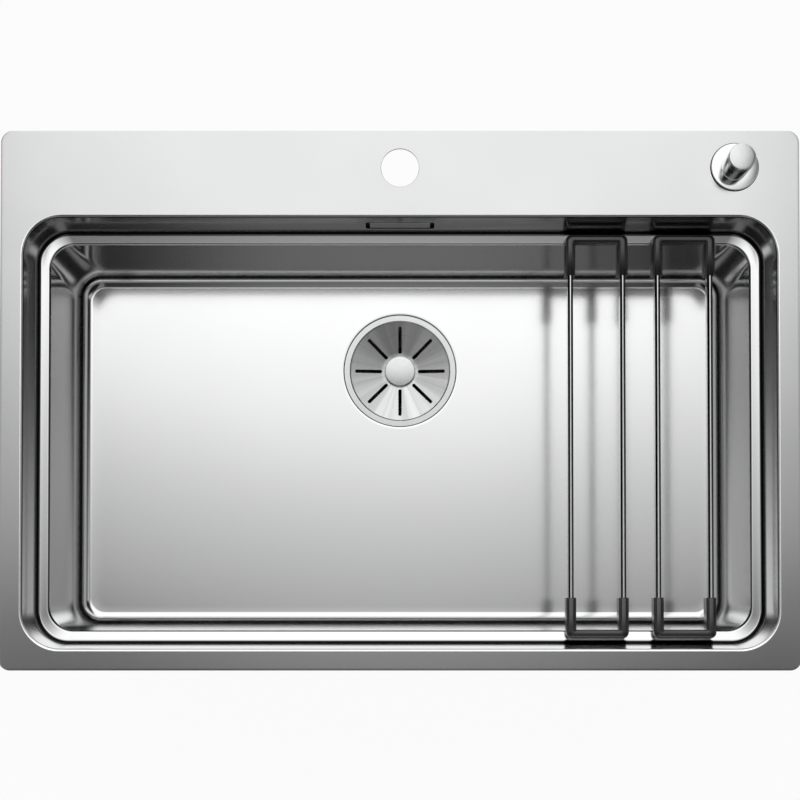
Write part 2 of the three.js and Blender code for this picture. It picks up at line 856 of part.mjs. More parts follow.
// Bent strip on the gland that holds the end of the cable's sheath beside the crank.
function cableBracket() {
  const b = BRACKET;
  const clasp = axle(b.clasp, b.start, b.start + b.claspThick, 16);
  const strapX = b.start + b.strapThick / 2;
  const line = [[strapX, b.strapTop], [strapX, b.strapZ], [b.strapEnd, b.strapZ]];
  const strap = blockAlongY(strip(line, b.strapThick), -b.strapHalf, b.strapHalf);
  const boreRadius = clearing(GLAND.radius, GLAND.sides);
  const bore = axle(boreRadius, b.start - BEYOND, b.start + b.claspThick + BEYOND, GLAND.sides);
  const sheathHole = rod(b.sheath, b.strapZ - BEYOND, b.strapZ + BEYOND, 8).translate(b.sheathX, 0, 0);
  return atLever(cut(join(clasp, strap), bore, sheathHole));
}

// Strainer: spun dish with slots, centre knob, stem and seal. The stem stands on the lifter pin.

function dishProfile() {
  const d = DISH;
  const top = FLOOR - d.drop;
  return [
    [d.edge, top],
    [d.rim + d.rimLip, top - d.rimFall],
    [d.rim, top - d.rimStep],
    [d.bend, DISH_FLOOR + d.bendRise],
    [d.flat, DISH_FLOOR],
    [d.hole, DISH_FLOOR],
  ];
}

function strainerDish() {
  const d = DISH;
  const face = dishProfile();
  const points = face.map(([r, z]) => new THREE.Vector2(r, z));
  const shifts = miters(points);
  const back = points.map((p, i) => [p.x + d.sheet * shifts[i].x, p.y + d.sheet * shifts[i].y]);
  back[0] = [d.edge, face[0][1] - d.sheet];
  const dish = turned([...face, ...back.reverse()], d.sides);
  const middle = (d.slotFrom + d.slotTo) / 2;
  const slotShape = roundedRectangle(d.slotTo - d.slotFrom, d.slotWide, d.slotWide / 2 - 0.01, middle, 0);
  const slot = () => block(slotShape, DISH_FLOOR - BEYOND, FLOOR + BEYOND, 1);
  return atWaste(cut(dish, ...around(d.slots, slot)));
}

function strainerKnob() {
  const k = STRAINER_KNOB;
  const low = DISH_FLOOR + GAP;
  const high = low + k.height;
  return atWaste(turned([
    [0, low],
    [k.foot, low],
    [k.radius, low + 1],
    [k.neck, high - 1.6],
    [k.edge, high - 0.5],
    [k.top, high],
    [0, high],
  ], DISH.sides));
}

function strainerStem() {
  const s = STEM;
  const plateLow = FLOOR - s.plateDrop;
  return atWaste(turned([
    [0, s.endZ],
    [s.radius, s.endZ],
    [s.radius, plateLow],
    [s.plate, plateLow],
    [s.plate, plateLow + s.plateThick],
    [s.radius, plateLow + s.plateThick],
    [s.radius, DISH_FLOOR],
    [0, DISH_FLOOR],
  ], s.sides));
}

function strainerSeal() {
  const s = STRAINER_SEAL;
  const bore = STEM.radius + GAP;
  return atWaste(turned([
    [bore, FLOOR - s.foot],
    [s.footRadius, FLOOR - s.foot],
    [s.radius, FLOOR - s.skirt],
    [s.radius, FLOOR - s.top],
    [bore, FLOOR - s.top],
  ], s.sides));
}

function lifterPin() {
  const l = LIFTER;
  const foot = TIP_TOP + GAP;
  const top = STEM.endZ - GAP;
  return atWaste(turned([
    [0, foot],
    [l.head, foot],
    [l.head, foot + l.headHeight],
    [l.radius, foot + l.headHeight],
    [l.radius, top],
    [0, top],
  ], l.sides));
}

// Control on the deck: the knob turns a spindle with a cable drum under the deck.

function atControl(geometry) {
  return geometry.translate(CONTROL.x, CONTROL.y, 0);
}

function controlRosette() {
  const r = ROSETTE;
  return atControl(turned([
    [r.bore, r.low],
    [r.radius, r.low],
    [r.radius, r.high - r.bevel],
    [r.radius - r.bevel, r.high],
    [r.bore, r.high],
  ], r.sides));
}

function controlKnob() {
  const k = KNOB;
  const bore = SPINDLE.radius + GAP;
  const boreEnd = SPINDLE.high + GAP;
  const domeFoot = k.high - k.dome;
  const topRadius = k.radius - k.edge;
  const dome = k.domeSteps.map((t) => [topRadius * (1 - t), k.high - k.dome * (1 - t) ** 2]);
  return atControl(turned([
    [bore, k.low],
    [k.radius, k.low],
    [k.radius, domeFoot - k.edge],
    [k.radius - k.edgeIn, domeFoot - k.edgeIn],
    [topRadius, domeFoot],
    ...dome,
    [0, boreEnd],
    [bore, boreEnd],
  ], k.sides));
}

function controlSpindle() {
  return atControl(rod(SPINDLE.radius, SPINDLE.low, SPINDLE.high, SPINDLE.sides));
}

function controlSleeve() {
  const s = SLEEVE;
  const neckTop = ROSETTE.high - s.neckDrop;
  return atControl(turned([
    [s.bore, s.endZ],
    [s.radius, s.endZ],
    [s.radius, DECK.top],
    [s.neck, DECK.top],
    [s.neck, neckTop],
    [s.bore, neckTop],
  ], s.sides));
}

const CONTROL_GASKET_TOP = DECK_UNDER - GAP;
const CONTROL_WASHER_TOP = CONTROL_GASKET_TOP - CONTROL_GASKET.thick - GAP;
const CONTROL_NUT_TOP = CONTROL_WASHER_TOP - CONTROL_WASHER.thick - GAP;

// A flat ring round the sleeve, hanging from the given height.
function sleeveRing(size, top) {
  return atControl(tube(size.radius, SLEEVE.radius + GAP, top - size.thick, top, SLEEVE.sides));
}

function controlLocknut() {
  const n = CONTROL_NUT;
  const nut = holed(polygon(6, n.radius, Math.PI / 6), clearing(SLEEVE.radius, SLEEVE.sides), SLEEVE.sides);
  return atControl(block(nut, CONTROL_NUT_TOP - n.height, CONTROL_NUT_TOP));
}

function cableDrum() {
  const d = DRUM;
  const bore = SPINDLE.radius + GAP;
  return atControl(turned([
    [bore, d.low],
    [d.radius, d.low],
    [d.radius, d.low + d.edge],
    [d.radius - d.groove, (d.low + d.high) / 2],
    [d.radius, d.high - d.edge],
    [d.radius, d.high],
    [bore, d.high],
  ], d.sides));
}

// Cup-shaped housing screwed on the sleeve's end, with a gland that a cable leaves towards the waste.
function cableHousing() {
  const c = CABLE_BOX;
  const plateTop = SLEEVE.endZ - GAP;
  const collarTop = plateTop + c.collar;
  const collar = clearing(SLEEVE.radius, c.sides);
  const spindleBore = SPINDLE.radius + c.clear;
  const wall = turned([
    [collar, collarTop],
    [collar, plateTop],
    [spindleBore, plateTop],
    [spindleBore, plateTop - c.plate],
    [c.inner, plateTop - c.plate],
    [c.inner, c.floorZ],
    [spindleBore, c.floorZ],
    [spindleBore, c.endZ],
    [c.radius, c.endZ],
    [c.radius, collarTop],
  ], c.sides);
  const forward = (radius, low, high, sides) => (
    rod(radius, low, high, sides).rotateX(Math.PI / 2).rotateZ(c.glandTurn).translate(0, 0, c.glandZ)
  );
  const gland = forward(c.gland, c.inner + 1, c.glandEnd, 10);
  const bore = forward(c.glandBore, c.inner - BEYOND, c.glandEnd + BEYOND, 8);
  return atControl(cut(join(wall, gland), bore));
}

// Rails: two steel bars held in U-shaped end shoes that stand on the ledge.

const RAIL_TOP = DECK.top - BOWL.ledgeDepth + GAP + RAIL.crossHeight;
const BAR_TOP = RAIL_TOP - RAIL.barDrop;
const ROUND_STEPS = 3;

// A bar section with a round top, drawn in X (or Y) and Z.
function roundTopped(width, height, centre, top, roundFoot) {
  const half = width / 2;
  const foot = top - height;
  const shape = new THREE.Shape();
  shape.absarc(centre, top - half, half, 0, Math.PI);
  if (roundFoot) {
    shape.absarc(centre, foot + half, half, Math.PI, 2 * Math.PI);
  } else {
    shape.lineTo(centre - half, foot);
    shape.lineTo(centre + half, foot);
  }
  return shape;
}

function railBar(x, side) {
  const r = RAIL;
  const half = r.length / 2 - r.crossWide - r.barEndGap;
  const bar = roundTopped(r.barThick, r.barHeight, x + (side * r.spacing) / 2, BAR_TOP, true);
  return blockAlongY(bar, BOWL.centreY - half, BOWL.centreY + half, ROUND_STEPS);
}

// end is 1 for the back shoe and -1 for the front one.
function railShoe(x, end) {
  const r = RAIL;
  const half = r.length / 2;
  const wide = r.spacing + r.shoeWide;
  const legStart = half - r.legLength;
  const crossStart = half - r.crossWide;
  const span = (a, b) => [a * end, b * end].sort((low, high) => low - high);
  const crossMiddle = ((crossStart + half) / 2) * end;
  const crossShape = roundTopped(r.crossWide, r.crossHeight, crossMiddle, RAIL_TOP, false);
  const cross = blockAlongX(crossShape, -wide / 2, wide / 2, ROUND_STEPS);
  const alongLegs = (width, height, top, from, to, roundFoot) => [-1, 1].map((side) => {
    const shape = roundTopped(width, height, (side * r.spacing) / 2, top, roundFoot);
    return blockAlongY(shape, ...span(from, to), ROUND_STEPS);
  });
  const legs = alongLegs(r.shoeWide, r.shoeHeight, RAIL_TOP, legStart, crossStart + 0.01, false);
  const caps = alongLegs(r.shoeWide, r.crossHeight, RAIL_TOP, legStart, half, false);
  const sockets = alongLegs(
    r.barThick + 2 * GAP,
    r.barHeight + 2 * GAP,
    BAR_TOP + GAP,
    legStart - BEYOND,
    crossStart - r.socketEndGap,
    true,
  );
  const plan = roundedRectangle(wide, 2 * half, r.corner);
  const outline = block(plan, RAIL_TOP - r.shoeHeight - BEYOND, RAIL_TOP + BEYOND);
  return cut(common(join(cross, ...legs, ...caps), outline), ...sockets).translate(x, BOWL.centreY, 0);
}

// Assembly

const sink = new THREE.Group();

function add(name, geometry, finish) {
  const [color, roughness, metalness] = COLOURS[finish];
  const clean = cleaned(geometry).toNonIndexed();
  clean.computeVertexNormals();
  const mesh = new THREE.Mesh(clean, new THREE.MeshStandardMaterial({ color, roughness, metalness }));
  mesh.name = name;
  sink.add(mesh);
  return mesh;
}

add('sink_body', sinkBody(), 'steel');
add('deck_seal', deckSeal(), 'rubber');
add('sound_pad_left', soundPad(-1), 'rubber');
add('sound_pad_right', soundPad(1), 'rubber');

add('clamp_rail_front', clampRail('front', -250, 250), 'zinc');
add('clamp_rail_left', clampRail('left', -160, 90), 'zinc');
add('clamp_rail_right', clampRail('right', -160, 90), 'zinc');
add('clamp_rail_back_left', clampRail('back', -290, -70), 'zinc');
add('clamp_rail_back_right', clampRail('back', 70, 270), 'zinc');
CLAMPS.forEach(([name, side, distance]) => {
  add(`clamp_hook_${name}`, clampHook(side, distance), 'zinc');
  add(`clamp_screw_${name}`, clampScrew(side, distance), 'zinc');
});

add('overflow_cover', overflowCover(), 'steel');
add('overflow_gasket', overflowGasket(), 'rubber');
add('overflow_housing', overflowHousing(), 'greyPlastic');
add('overflow_pipe', overflowPipe(), 'greyPlastic');
const upperNut = add('overflow_nut_upper', pipeNut(), 'greyPlastic');
upperNut.position.set(WASTE.x, PIPE.y, PIPE.top);
const lowerNut = add('overflow_nut_lower', pipeNut(), 'greyPlastic');
lowerNut.position.set(WASTE.x, WASTE.y + PORT.end, PORT.z);
lowerNut.rotation.x = Math.PI / 2;

add('drain_cup', drainCup(), 'steel');
add('drain_gasket', drainGasket(), 'rubber');
add('drain_locknut', drainLocknut(), 'greyPlastic');
add('waste_housing', wasteHousing(), 'greyPlastic');
add('waste_coupling_nut', wasteCouplingNut(), 'greyPlastic');
add('lifter_pin', lifterPin(), 'brass');
add('lever_finger', leverFinger(), 'zinc');
add('lever_shaft', leverShaft(), 'zinc');
add('lever_crank', leverCrank(), 'zinc');
add('cable_bracket', cableBracket(), 'blackPlastic');

add('strainer_dish', strainerDish(), 'steel');
add('strainer_knob', strainerKnob(), 'steel');
add('strainer_stem', strainerStem(), 'brass');
add('strainer_seal', strainerSeal(), 'rubber');

add('control_rosette', controlRosette(), 'chrome');
add('control_knob', controlKnob(), 'chrome');
add('control_spindle', controlSpindle(), 'brass');
add('control_sleeve', controlSleeve(), 'brass');
add('control_gasket', sleeveRing(CONTROL_GASKET, CONTROL_GASKET_TOP), 'rubber');
add('control_washer', sleeveRing(CONTROL_WASHER, CONTROL_WASHER_TOP), 'zinc');
add('control_locknut', controlLocknut(), 'brass');
add('cable_drum', cableDrum(), 'blackPlastic');
add('cable_housing', cableHousing(), 'blackPlastic');

[['rail_left', RAIL.leftX], ['rail_right', RAIL.rightX]].forEach(([name, x]) => {
  add(`${name}_bar_inner`, railBar(x, -1), 'steel');
  add(`${name}_bar_outer`, railBar(x, 1), 'steel');
  add(`${name}_shoe_back`, railShoe(x, 1), 'blackPlastic');
  add(`${name}_shoe_front`, railShoe(x, -1), 'blackPlastic');
});

export default sink;
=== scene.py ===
import math

import bmesh
import bpy
from mathutils import Matrix, Vector


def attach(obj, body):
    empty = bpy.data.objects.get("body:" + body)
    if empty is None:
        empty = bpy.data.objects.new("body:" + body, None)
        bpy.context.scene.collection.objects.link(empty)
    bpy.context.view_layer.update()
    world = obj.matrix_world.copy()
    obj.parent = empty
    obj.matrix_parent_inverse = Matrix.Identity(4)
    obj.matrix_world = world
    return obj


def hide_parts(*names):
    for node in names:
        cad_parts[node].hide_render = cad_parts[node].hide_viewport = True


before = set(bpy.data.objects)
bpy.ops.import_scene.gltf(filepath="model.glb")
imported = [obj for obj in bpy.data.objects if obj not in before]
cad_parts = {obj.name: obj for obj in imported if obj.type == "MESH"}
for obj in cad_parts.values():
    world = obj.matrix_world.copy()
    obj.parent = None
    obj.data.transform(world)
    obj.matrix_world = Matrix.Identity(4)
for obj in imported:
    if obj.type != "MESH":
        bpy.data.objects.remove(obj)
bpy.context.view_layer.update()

scene = bpy.context.scene
mm = 0.001


# shader helpers

def newGroup(name, inputs, outputs):
    group = bpy.data.node_groups.new(name, "ShaderNodeTree")

    def addSocket(label, way, isVector):
        kind = "NodeSocketVector" if isVector else "NodeSocketFloat"
        return group.interface.new_socket(name=label, in_out=way, socket_type=kind)

    for label, value in inputs:
        addSocket(label, "INPUT", isinstance(value, tuple)).default_value = value
    for label in outputs:
        addSocket(label, "OUTPUT", label == "Normal")
    return group, group.nodes.new("NodeGroupInput").outputs, group.nodes.new("NodeGroupOutput")


def wire(tree, node, sources):  # each input is linked to a socket or set to a value
    for socket, source in sources:
        if hasattr(source, "is_output"):
            tree.links.new(source, node.inputs[socket])
        else:
            node.inputs[socket].default_value = source


def addNode(tree, kind, sources=(), **settings):
    node = tree.nodes.new("ShaderNode" + kind)
    for key, value in settings.items():
        setattr(node, key, value)
    wire(tree, node, sources)
    return node.outputs


def maths(tree, operation, *values, limit=False):
    return addNode(tree, "Math", enumerate(values), operation=operation, use_clamp=limit)[0]


def vectors(tree, operation, *values):
    return addNode(tree, "VectorMath", enumerate(values), operation=operation)


def noise(tree, *sources, **settings):
    return addNode(tree, "TexNoise", sources, **settings)["Fac"]


def blend(tree, factor, first, second):  # between two colours, each a socket or three values
    ends = [end if hasattr(end, "is_output") else (*end, 1) for end in (first, second)]
    return addNode(tree, "Mix", [("Factor", factor), ("A", ends[0]), ("B", ends[1])], data_type="RGBA")["Result"]


def mapped(tree, value, low, high, toLow=0.0, toHigh=1.0, kind="LINEAR"):
    return addNode(tree, "MapRange", [("Value", value), ("From Min", low), ("From Max", high), ("To Min", toLow),
                                      ("To Max", toHigh)], interpolation_type=kind)[0]


def roughAndBump(group, start, height, distance):
    centred = maths(group, "SUBTRACT", height, 0.5)
    rough = maths(group, "MULTIPLY_ADD", centred, start["Spread"], start["Roughness"])
    bump = addNode(group, "Bump", [("Height", height), ("Strength", start["Depth"]), ("Distance", distance)])
    return rough, bump["Normal"]


def tinted(color, factor, lift=0.0):
    return [min(1.0, factor * c + lift) for c in color]


def satinGrainGroup():  # fine directional polish: roughness that varies, and a shallow grain
    group, start, end = newGroup(
        "satinGrain", [("Stretch", (1, 1, 1)), ("Scale", 900.0), ("Roughness", 0.25), ("Spread", 0.05),
                       ("Depth", 0.02), ("Clouds", 0.03)], ["Roughness", "Normal", "Mask"])
    place = addNode(group, "TexCoord")["Object"]
    stretched = vectors(group, "MULTIPLY", place, start["Stretch"])[0]
    grain = noise(group, ("Vector", stretched), ("Scale", start["Scale"]), ("Detail", 3.0))
    clouds = noise(group, ("Vector", place), ("Scale", 9.0), ("Detail", 2.0))
    rough, normal = roughAndBump(group, start, grain, 0.0002)
    rough = maths(group, "MULTIPLY_ADD", maths(group, "SUBTRACT", clouds, 0.5), start["Clouds"], rough)
    wire(group, end, [("Roughness", rough), ("Normal", normal), ("Mask", clouds)])
    return group


def turnedRingsGroup():  # concentric lines left by spinning or turning, about the object's own Z axis, and a painted sheen in random angular fans
    group, start, end = newGroup(
        "turnedRings", [("Pitch", 1800.0), ("Roughness", 0.25), ("Spread", 0.1), ("Depth", 0.1)],
        ["Roughness", "Normal", "PaintedSheen"])
    x, y, z = addNode(group, "SeparateXYZ", [(0, addNode(group, "TexCoord")["Object"])])
    flat = addNode(group, "CombineXYZ", [(0, x), (1, y)])[0]
    radius = vectors(group, "LENGTH", flat)["Value"]
    lines = noise(group, ("W", radius), ("Scale", start["Pitch"]), ("Detail", 4.0), noise_dimensions="1D")
    rough, normal = roughAndBump(group, start, lines, 0.0003)
    rays = noise(group, ("Vector", vectors(group, "NORMALIZE", flat)[0]), ("Scale", 4.0), ("Detail", 3.0))
    wire(group, end, [("Roughness", rough), ("Normal", normal), ("PaintedSheen", mapped(group, rays, 0.38, 0.62))])
    return group


def edgeWearGroup():  # a mask that is high on convex edges, broken up by noise
    group, start, end = newGroup("edgeWear", [("Amount", 0.5), ("Scale", 300.0)], ["Mask"])
    edge = mapped(group, addNode(group, "NewGeometry")["Pointiness"], 0.51, 0.62)
    patches = noise(group, ("Vector", addNode(group, "TexCoord")["Object"]), ("Scale", start["Scale"]))
    broken = maths(group, "MULTIPLY", edge, patches)
    wire(group, end, [("Mask", maths(group, "MULTIPLY", broken, start["Amount"], limit=True))])
    return group


satinGrain = satinGrainGroup()
turnedRings = turnedRingsGroup()
edgeWear = edgeWearGroup()


def newMaterial(name):
    material = bpy.data.materials.new(name)
    material.use_nodes = True
    tree = material.node_tree
    return material, tree, tree.nodes["Principled BSDF"]


def placeGroup(tree, group, **values):
    return addNode(tree, "Group", values.items(), node_tree=group)


def finishWith(tree, shader, color, grain, metallic=1.0, rough=None):
    wire(tree, shader, [("Base Color", color), ("Roughness", rough or grain["Roughness"]),
                        ("Normal", grain["Normal"]), ("Metallic", metallic)])


# Sheet steel: directional satin grain, slightly cloudy colour, painted shade where the sheet is folded tight, a
# painted highlight on the rim, and a lighter colour painted inside the bowl, where it is also smoother.
sheetSteel = {"color": (0.61, 0.612, 0.616), "shade": (0.57, 0.572, 0.576), "bowl": (0.76, 0.762, 0.766),
              "rim": (0.97, 0.972, 0.976), "paintedShade": (0.004, 0.004, 0.0042), "roughness": 0.15, "smoother": 0.15,
              "rimRoughness": 0.2, "spread": 0.06, "stretch": (1, 14, 14), "scale": 260.0, "depth": 0.03}
# the bars take the same finish; their dark colour is painted shade on the shoulders beside the crown
barFinish = {**sheetSteel, "color": (0.78, 0.785, 0.79), "shade": (0.72, 0.725, 0.73),
             "paintedShade": (0.012, 0.012, 0.013), "spread": 0.04, "stretch": (20, 1, 20), "scale": 120.0, "depth": 0.02}


def makeSheetSteel(name, values):
    material, tree, shader = newMaterial(name)
    plain, bowl, rim, paintedShade = [addNode(tree, "Attribute", attribute_name=label)["Fac"]
                              for label in ("plain", "polishAndPaintedLight", "rim", "paintedShade")]
    spread, depth = [maths(tree, "MULTIPLY_ADD", plain, -values[label], values[label])
                     for label in ("spread", "depth")]
    grain = placeGroup(tree, satinGrain, Stretch=values["stretch"], Scale=values["scale"],
                       Roughness=values["roughness"], Spread=spread, Depth=depth, Clouds=0.05)
    color = blend(tree, grain["Mask"], values["color"], values["shade"])
    # painted light: the bowl's lighter colour, the rim's painted highlight and the painted shade at folds
    for label, mask in (("bowl", bowl), ("rim", rim), ("paintedShade", paintedShade)):
        color = blend(tree, mask, color, values[label])
    share = maths(tree, "MULTIPLY_ADD", bowl, -values["smoother"], 1.0)
    rough = maths(tree, "MULTIPLY", grain["Roughness"], share)
    rough = addNode(tree, "Mix", [("Factor", rim), ("A", rough), ("B", values["rimRoughness"])])["Result"]
    finishWith(tree, shader, color, grain, rough=rough)
    return material


def makeMetal(name, color, roughness, spread=0.04, scale=700.0, depth=0.02, wear=0.0):
    material, tree, shader = newMaterial(name)
    grain = placeGroup(tree, satinGrain, Scale=scale, Roughness=roughness, Spread=spread, Depth=depth,
                       Clouds=0.04)
    tone = blend(tree, grain["Mask"], color, tinted(color, 0.88))
    if wear:
        worn = placeGroup(tree, edgeWear, Amount=wear)["Mask"]
        tone = blend(tree, worn, tone, tinted(color, 1.25))
    finishWith(tree, shader, tone, grain)
    return material


def makeTurnedMetal(name, color, roughness, spread=0.12, depth=0.12, brushed=0.0, paintedSheen=0.1):
    material, tree, shader = newMaterial(name)
    rings = placeGroup(tree, turnedRings, Pitch=1500.0, Roughness=roughness, Spread=spread, Depth=depth)
    # the colour is darker in random angular fans: painted sheen
    finishWith(tree, shader, blend(tree, rings["PaintedSheen"], color, tinted(color, 1 - paintedSheen)), rings)
    if brushed:
        tangent = addNode(tree, "Tangent", direction_type="RADIAL", axis="Z")[0]
        wire(tree, shader, [("Tangent", tangent), ("Anisotropic", brushed)])
    return material


def makePlastic(name, color, roughness, scale=1500.0, depth=0.15, wear=0.3, gloss=0.5):
    material, tree, shader = newMaterial(name)
    grain = placeGroup(tree, satinGrain, Scale=scale, Roughness=roughness, Spread=0.12, Depth=depth, Clouds=0.1)
    tone = blend(tree, grain["Mask"], color, tinted(color, 0.8))
    worn = placeGroup(tree, edgeWear, Amount=wear)["Mask"]
    finishWith(tree, shader, blend(tree, worn, tone, tinted(color, 1.6, 0.01)), grain, 0.0)
    shader.inputs["Specular IOR Level"].default_value = gloss
    return material


sinkSteel = makeSheetSteel("sinkSteel", sheetSteel)
barSteel = makeSheetSteel("barSteel", barFinish)
cupSteel = makeTurnedMetal("cupSteel", (0.6, 0.605, 0.61), 0.28)
dishSteel = makeTurnedMetal("dishSteel", (0.88, 0.885, 0.89), 0.3, depth=0.08, brushed=0.6, paintedSheen=0.24)
knobTopSteel = makeTurnedMetal("knobTopSteel", (0.67, 0.675, 0.68), 0.2, spread=0.05, depth=0.02, brushed=0.3,
                               paintedSheen=0.04)
polishedChrome = makeMetal("polishedChrome", (0.8, 0.805, 0.81), 0.1, spread=0.02, depth=0.0)
zincPlate = makeMetal("zincPlate", (0.55, 0.56, 0.555), 0.38, spread=0.15, scale=400.0, depth=0.06, wear=0.6)
turnedBrass = makeTurnedMetal("turnedBrass", (0.62, 0.47, 0.2), 0.3)
blackPlastic = makePlastic("blackPlastic", (0.006, 0.006, 0.0065), 0.24, depth=0.06, gloss=1.0)
housingBlack = makePlastic("housingBlack", (0.025, 0.025, 0.027), 0.5)
greyPlastic = makePlastic("greyPlastic", (0.36, 0.38, 0.39), 0.45, wear=0.15)
blackRubber = makePlastic("blackRubber", (0.02, 0.02, 0.02), 0.75, scale=700.0, depth=0.35, gloss=0.3)
padBitumen = makePlastic("padBitumen", (0.05, 0.05, 0.052), 0.85, scale=500.0, depth=0.6, wear=0.0, gloss=0.2)
print("materials made")


# mesh helpers: all points are in millimetres

def rounded(points, radius, steps=4, closed=True):  # a flat outline's corners softened, one radius or one each
    count = len(points)
    radii = radius if isinstance(radius, list) else [radius] * count
    straight = math.radians(172)
    result = []
    for i, (here, r) in enumerate(zip(points, radii)):
        atEnd = not closed and i in (0, count - 1)
        here = Vector(here)
        before = Vector(points[i - 1]) - here
        after = Vector(points[(i + 1) % count]) - here
        if atEnd or r <= 0 or min(before.length, after.length) < 1e-6 or before.angle(after) > straight:
            result.append(tuple(here))
            continue
        reach = min(r / math.tan(before.angle(after) / 2), 0.45 * before.length, 0.45 * after.length)
        start, end = here + before.normalized() * reach, here + after.normalized() * reach
        for k in range(steps + 1):
            s = k / steps
            result.append(tuple(start * (1 - s) ** 2 + here * 2 * s * (1 - s) + end * s ** 2))
    return result


def newPiece(name, verts, faces, material, at=(0, 0, 0), sharp=32, indices=None):
    mesh = bpy.data.meshes.new(name)
    mesh.from_pydata([tuple(c * mm for c in v) for v in verts], [], faces)
    for one in material if isinstance(material, list) else [material]:
        mesh.materials.append(one)
    if indices:
        mesh.polygons.foreach_set("material_index", indices)
    shape = bmesh.new()
    shape.from_mesh(mesh)
    bmesh.ops.recalc_face_normals(shape, faces=shape.faces)
    shape.to_mesh(mesh)
    shape.free()
    mesh.shade_smooth()
    mesh.set_sharp_from_angle(angle=math.radians(sharp))
    piece = bpy.data.objects.new(name, mesh)
    scene.collection.objects.link(piece)
    piece.matrix_world = offset(at)
    return piece


def following(verts, count):  # the numbers of the next points
    return list(range(len(verts), len(verts) + count))


def bridge(one, two):  # the quads between two loops of points
    n = len(one)
    return [(one[k], one[(k + 1) % n], two[(k + 1) % n], two[k]) for k in range(n)]


# a closed profile of (radius, z) turned about Z; bands says where a second material goes
def lathe(name, profile, material, at=(0, 0, 0), steps=96, soft=0.3, bands=None, sharp=32):
    radii = soft if isinstance(soft, list) else [0 if r < 1e-6 else soft for r, z in profile]
    line = rounded(profile, radii, 3) if max(radii) > 0 else list(profile)
    verts, rings = [], []
    for r, z in line:
        if r < 1e-6:
            rings.append([len(verts)])
            verts.append((0, 0, z))
            continue
        rings.append(following(verts, steps))
        verts += [(r * math.cos(a), r * math.sin(a), z) for a in fullTurn(steps)]
    faces, indices = [], []
    for i, ring in enumerate(rings):
        j = (i + 1) % len(rings)
        other = rings[j]
        if len(ring) == 1 and len(other) == 1:
            continue
        if len(ring) == 1:
            made = [(ring[0], other[(k + 1) % steps], other[k]) for k in range(steps)]
        elif len(other) == 1:
            made = [(ring[k], ring[(k + 1) % steps], other[0]) for k in range(steps)]
        else:
            made = bridge(ring, other)
        middle = (Vector(line[i]) + Vector(line[j])) / 2
        indices += [int(bands(middle.x, middle.y)) if bands else 0] * len(made)
        faces += made
    return newPiece(name, verts, faces, material, at, sharp, indices)


def prism(name, outline, low, high, material, at=(0, 0, 0), axis="Z", bevel=0.0):
    verts = [(x, y, z) for z in (low, high) for x, y in outline]
    if axis == "X":
        verts = [(z, x, y) for x, y, z in verts]
    if axis == "Y":
        verts = [(x, z, y) for x, y, z in verts]
    first = list(range(len(outline)))
    last = [len(outline) + k for k in first]
    piece = newPiece(name, verts, [tuple(first), tuple(last)] + bridge(first, last), material, at)
    if bevel:
        soften(piece, bevel)
    return piece


def soften(piece, width):
    if piece.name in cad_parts:
        piece.modifiers.new("joined", "WELD").merge_threshold = 0.01 * mm
    edge = piece.modifiers.new("softEdges", "BEVEL")
    edge.width = width * mm
    edge.segments = 2
    edge.limit_method = "ANGLE"
    edge.angle_limit = math.radians(40)
    edge.harden_normals = True


def settle(piece, sharp=32):  # modifiers made real, shading set again
    bpy.context.view_layer.update()
    graph = bpy.context.evaluated_depsgraph_get()
    mesh = bpy.data.meshes.new_from_object(piece.evaluated_get(graph), depsgraph=graph)
    mesh.name = piece.name
    piece.modifiers.clear()
    piece.data = mesh
    mesh.shade_smooth()
    mesh.set_sharp_from_angle(angle=math.radians(sharp))


def combine(piece, others, operation="UNION", sharp=32):
    for other in others:
        step = piece.modifiers.new("combine", "BOOLEAN")
        step.operation = operation
        step.solver = "EXACT"
        step.object = other
    settle(piece, sharp)
    for other in others:
        bpy.data.objects.remove(other)


def paint(piece, label, values):  # a value kept at every point, read by the finish
    piece.data.attributes.new(label, "FLOAT", "POINT").data.foreach_set("value", values)


def tube(name, path, outer, inner, material, steps):  # a bent pipe in the YZ plane, with its bore
    verts, rings = [], []
    for radius in (outer, inner):
        for i, (y, z) in enumerate(path):
            along = (Vector(path[min(len(path) - 1, i + 1)]) - Vector(path[max(0, i - 1)])).normalized()
            rings.append(following(verts, steps))
            for a in fullTurn(steps):
                side = radius * math.sin(a)
                verts.append((radius * math.cos(a), y - side * along.y, z + side * along.x))
    half, faces = len(path), []
    for i in range(half - 1):
        outside, inside = bridge(rings[i], rings[i + 1]), bridge(rings[half + i], rings[half + i + 1])
        faces += [face for pair in zip(outside, inside) for face in pair]
    for i in (0, half - 1):
        faces += bridge(rings[i], rings[half + i])
    return newPiece(name, verts, faces, material, sharp=40)


def evenShading(piece):
    piece.modifiers.new("evenShading", "WEIGHTED_NORMAL").keep_sharp = True


def place(piece, matrix):
    piece.matrix_world = matrix @ piece.matrix_world
    bpy.context.view_layer.update()
    return piece


def offset(at):
    return Matrix.Translation(Vector(at) * mm)


def shift(piece, at):
    return place(piece, offset(at))


def turnPiece(piece, axis, degrees, pivot=(0, 0, 0)):
    turn = Matrix.Rotation(math.radians(degrees), 4, axis)
    return place(piece, offset(pivot) @ turn @ offset([-c for c in pivot]))


def around(count, name, outline, low, high, material, at, bevel=0.0, axis="Z"):  # one prism set round an axis
    return [turnPiece(prism(name, outline, low, high, material, at, axis, bevel), "Z", 360 / count * k, at)
            for k in range(count)]


def fullTurn(steps, start=0.0):
    return [start + 2 * math.pi * k / steps for k in range(steps)]


def sweepAngles(start, end, steps):
    return [math.radians(start + (end - start) * k / steps) for k in range(steps + 1)]


def arc2d(radius, angles, x=0, y=0):
    return [(x + radius * math.cos(a), y + radius * math.sin(a)) for a in angles]


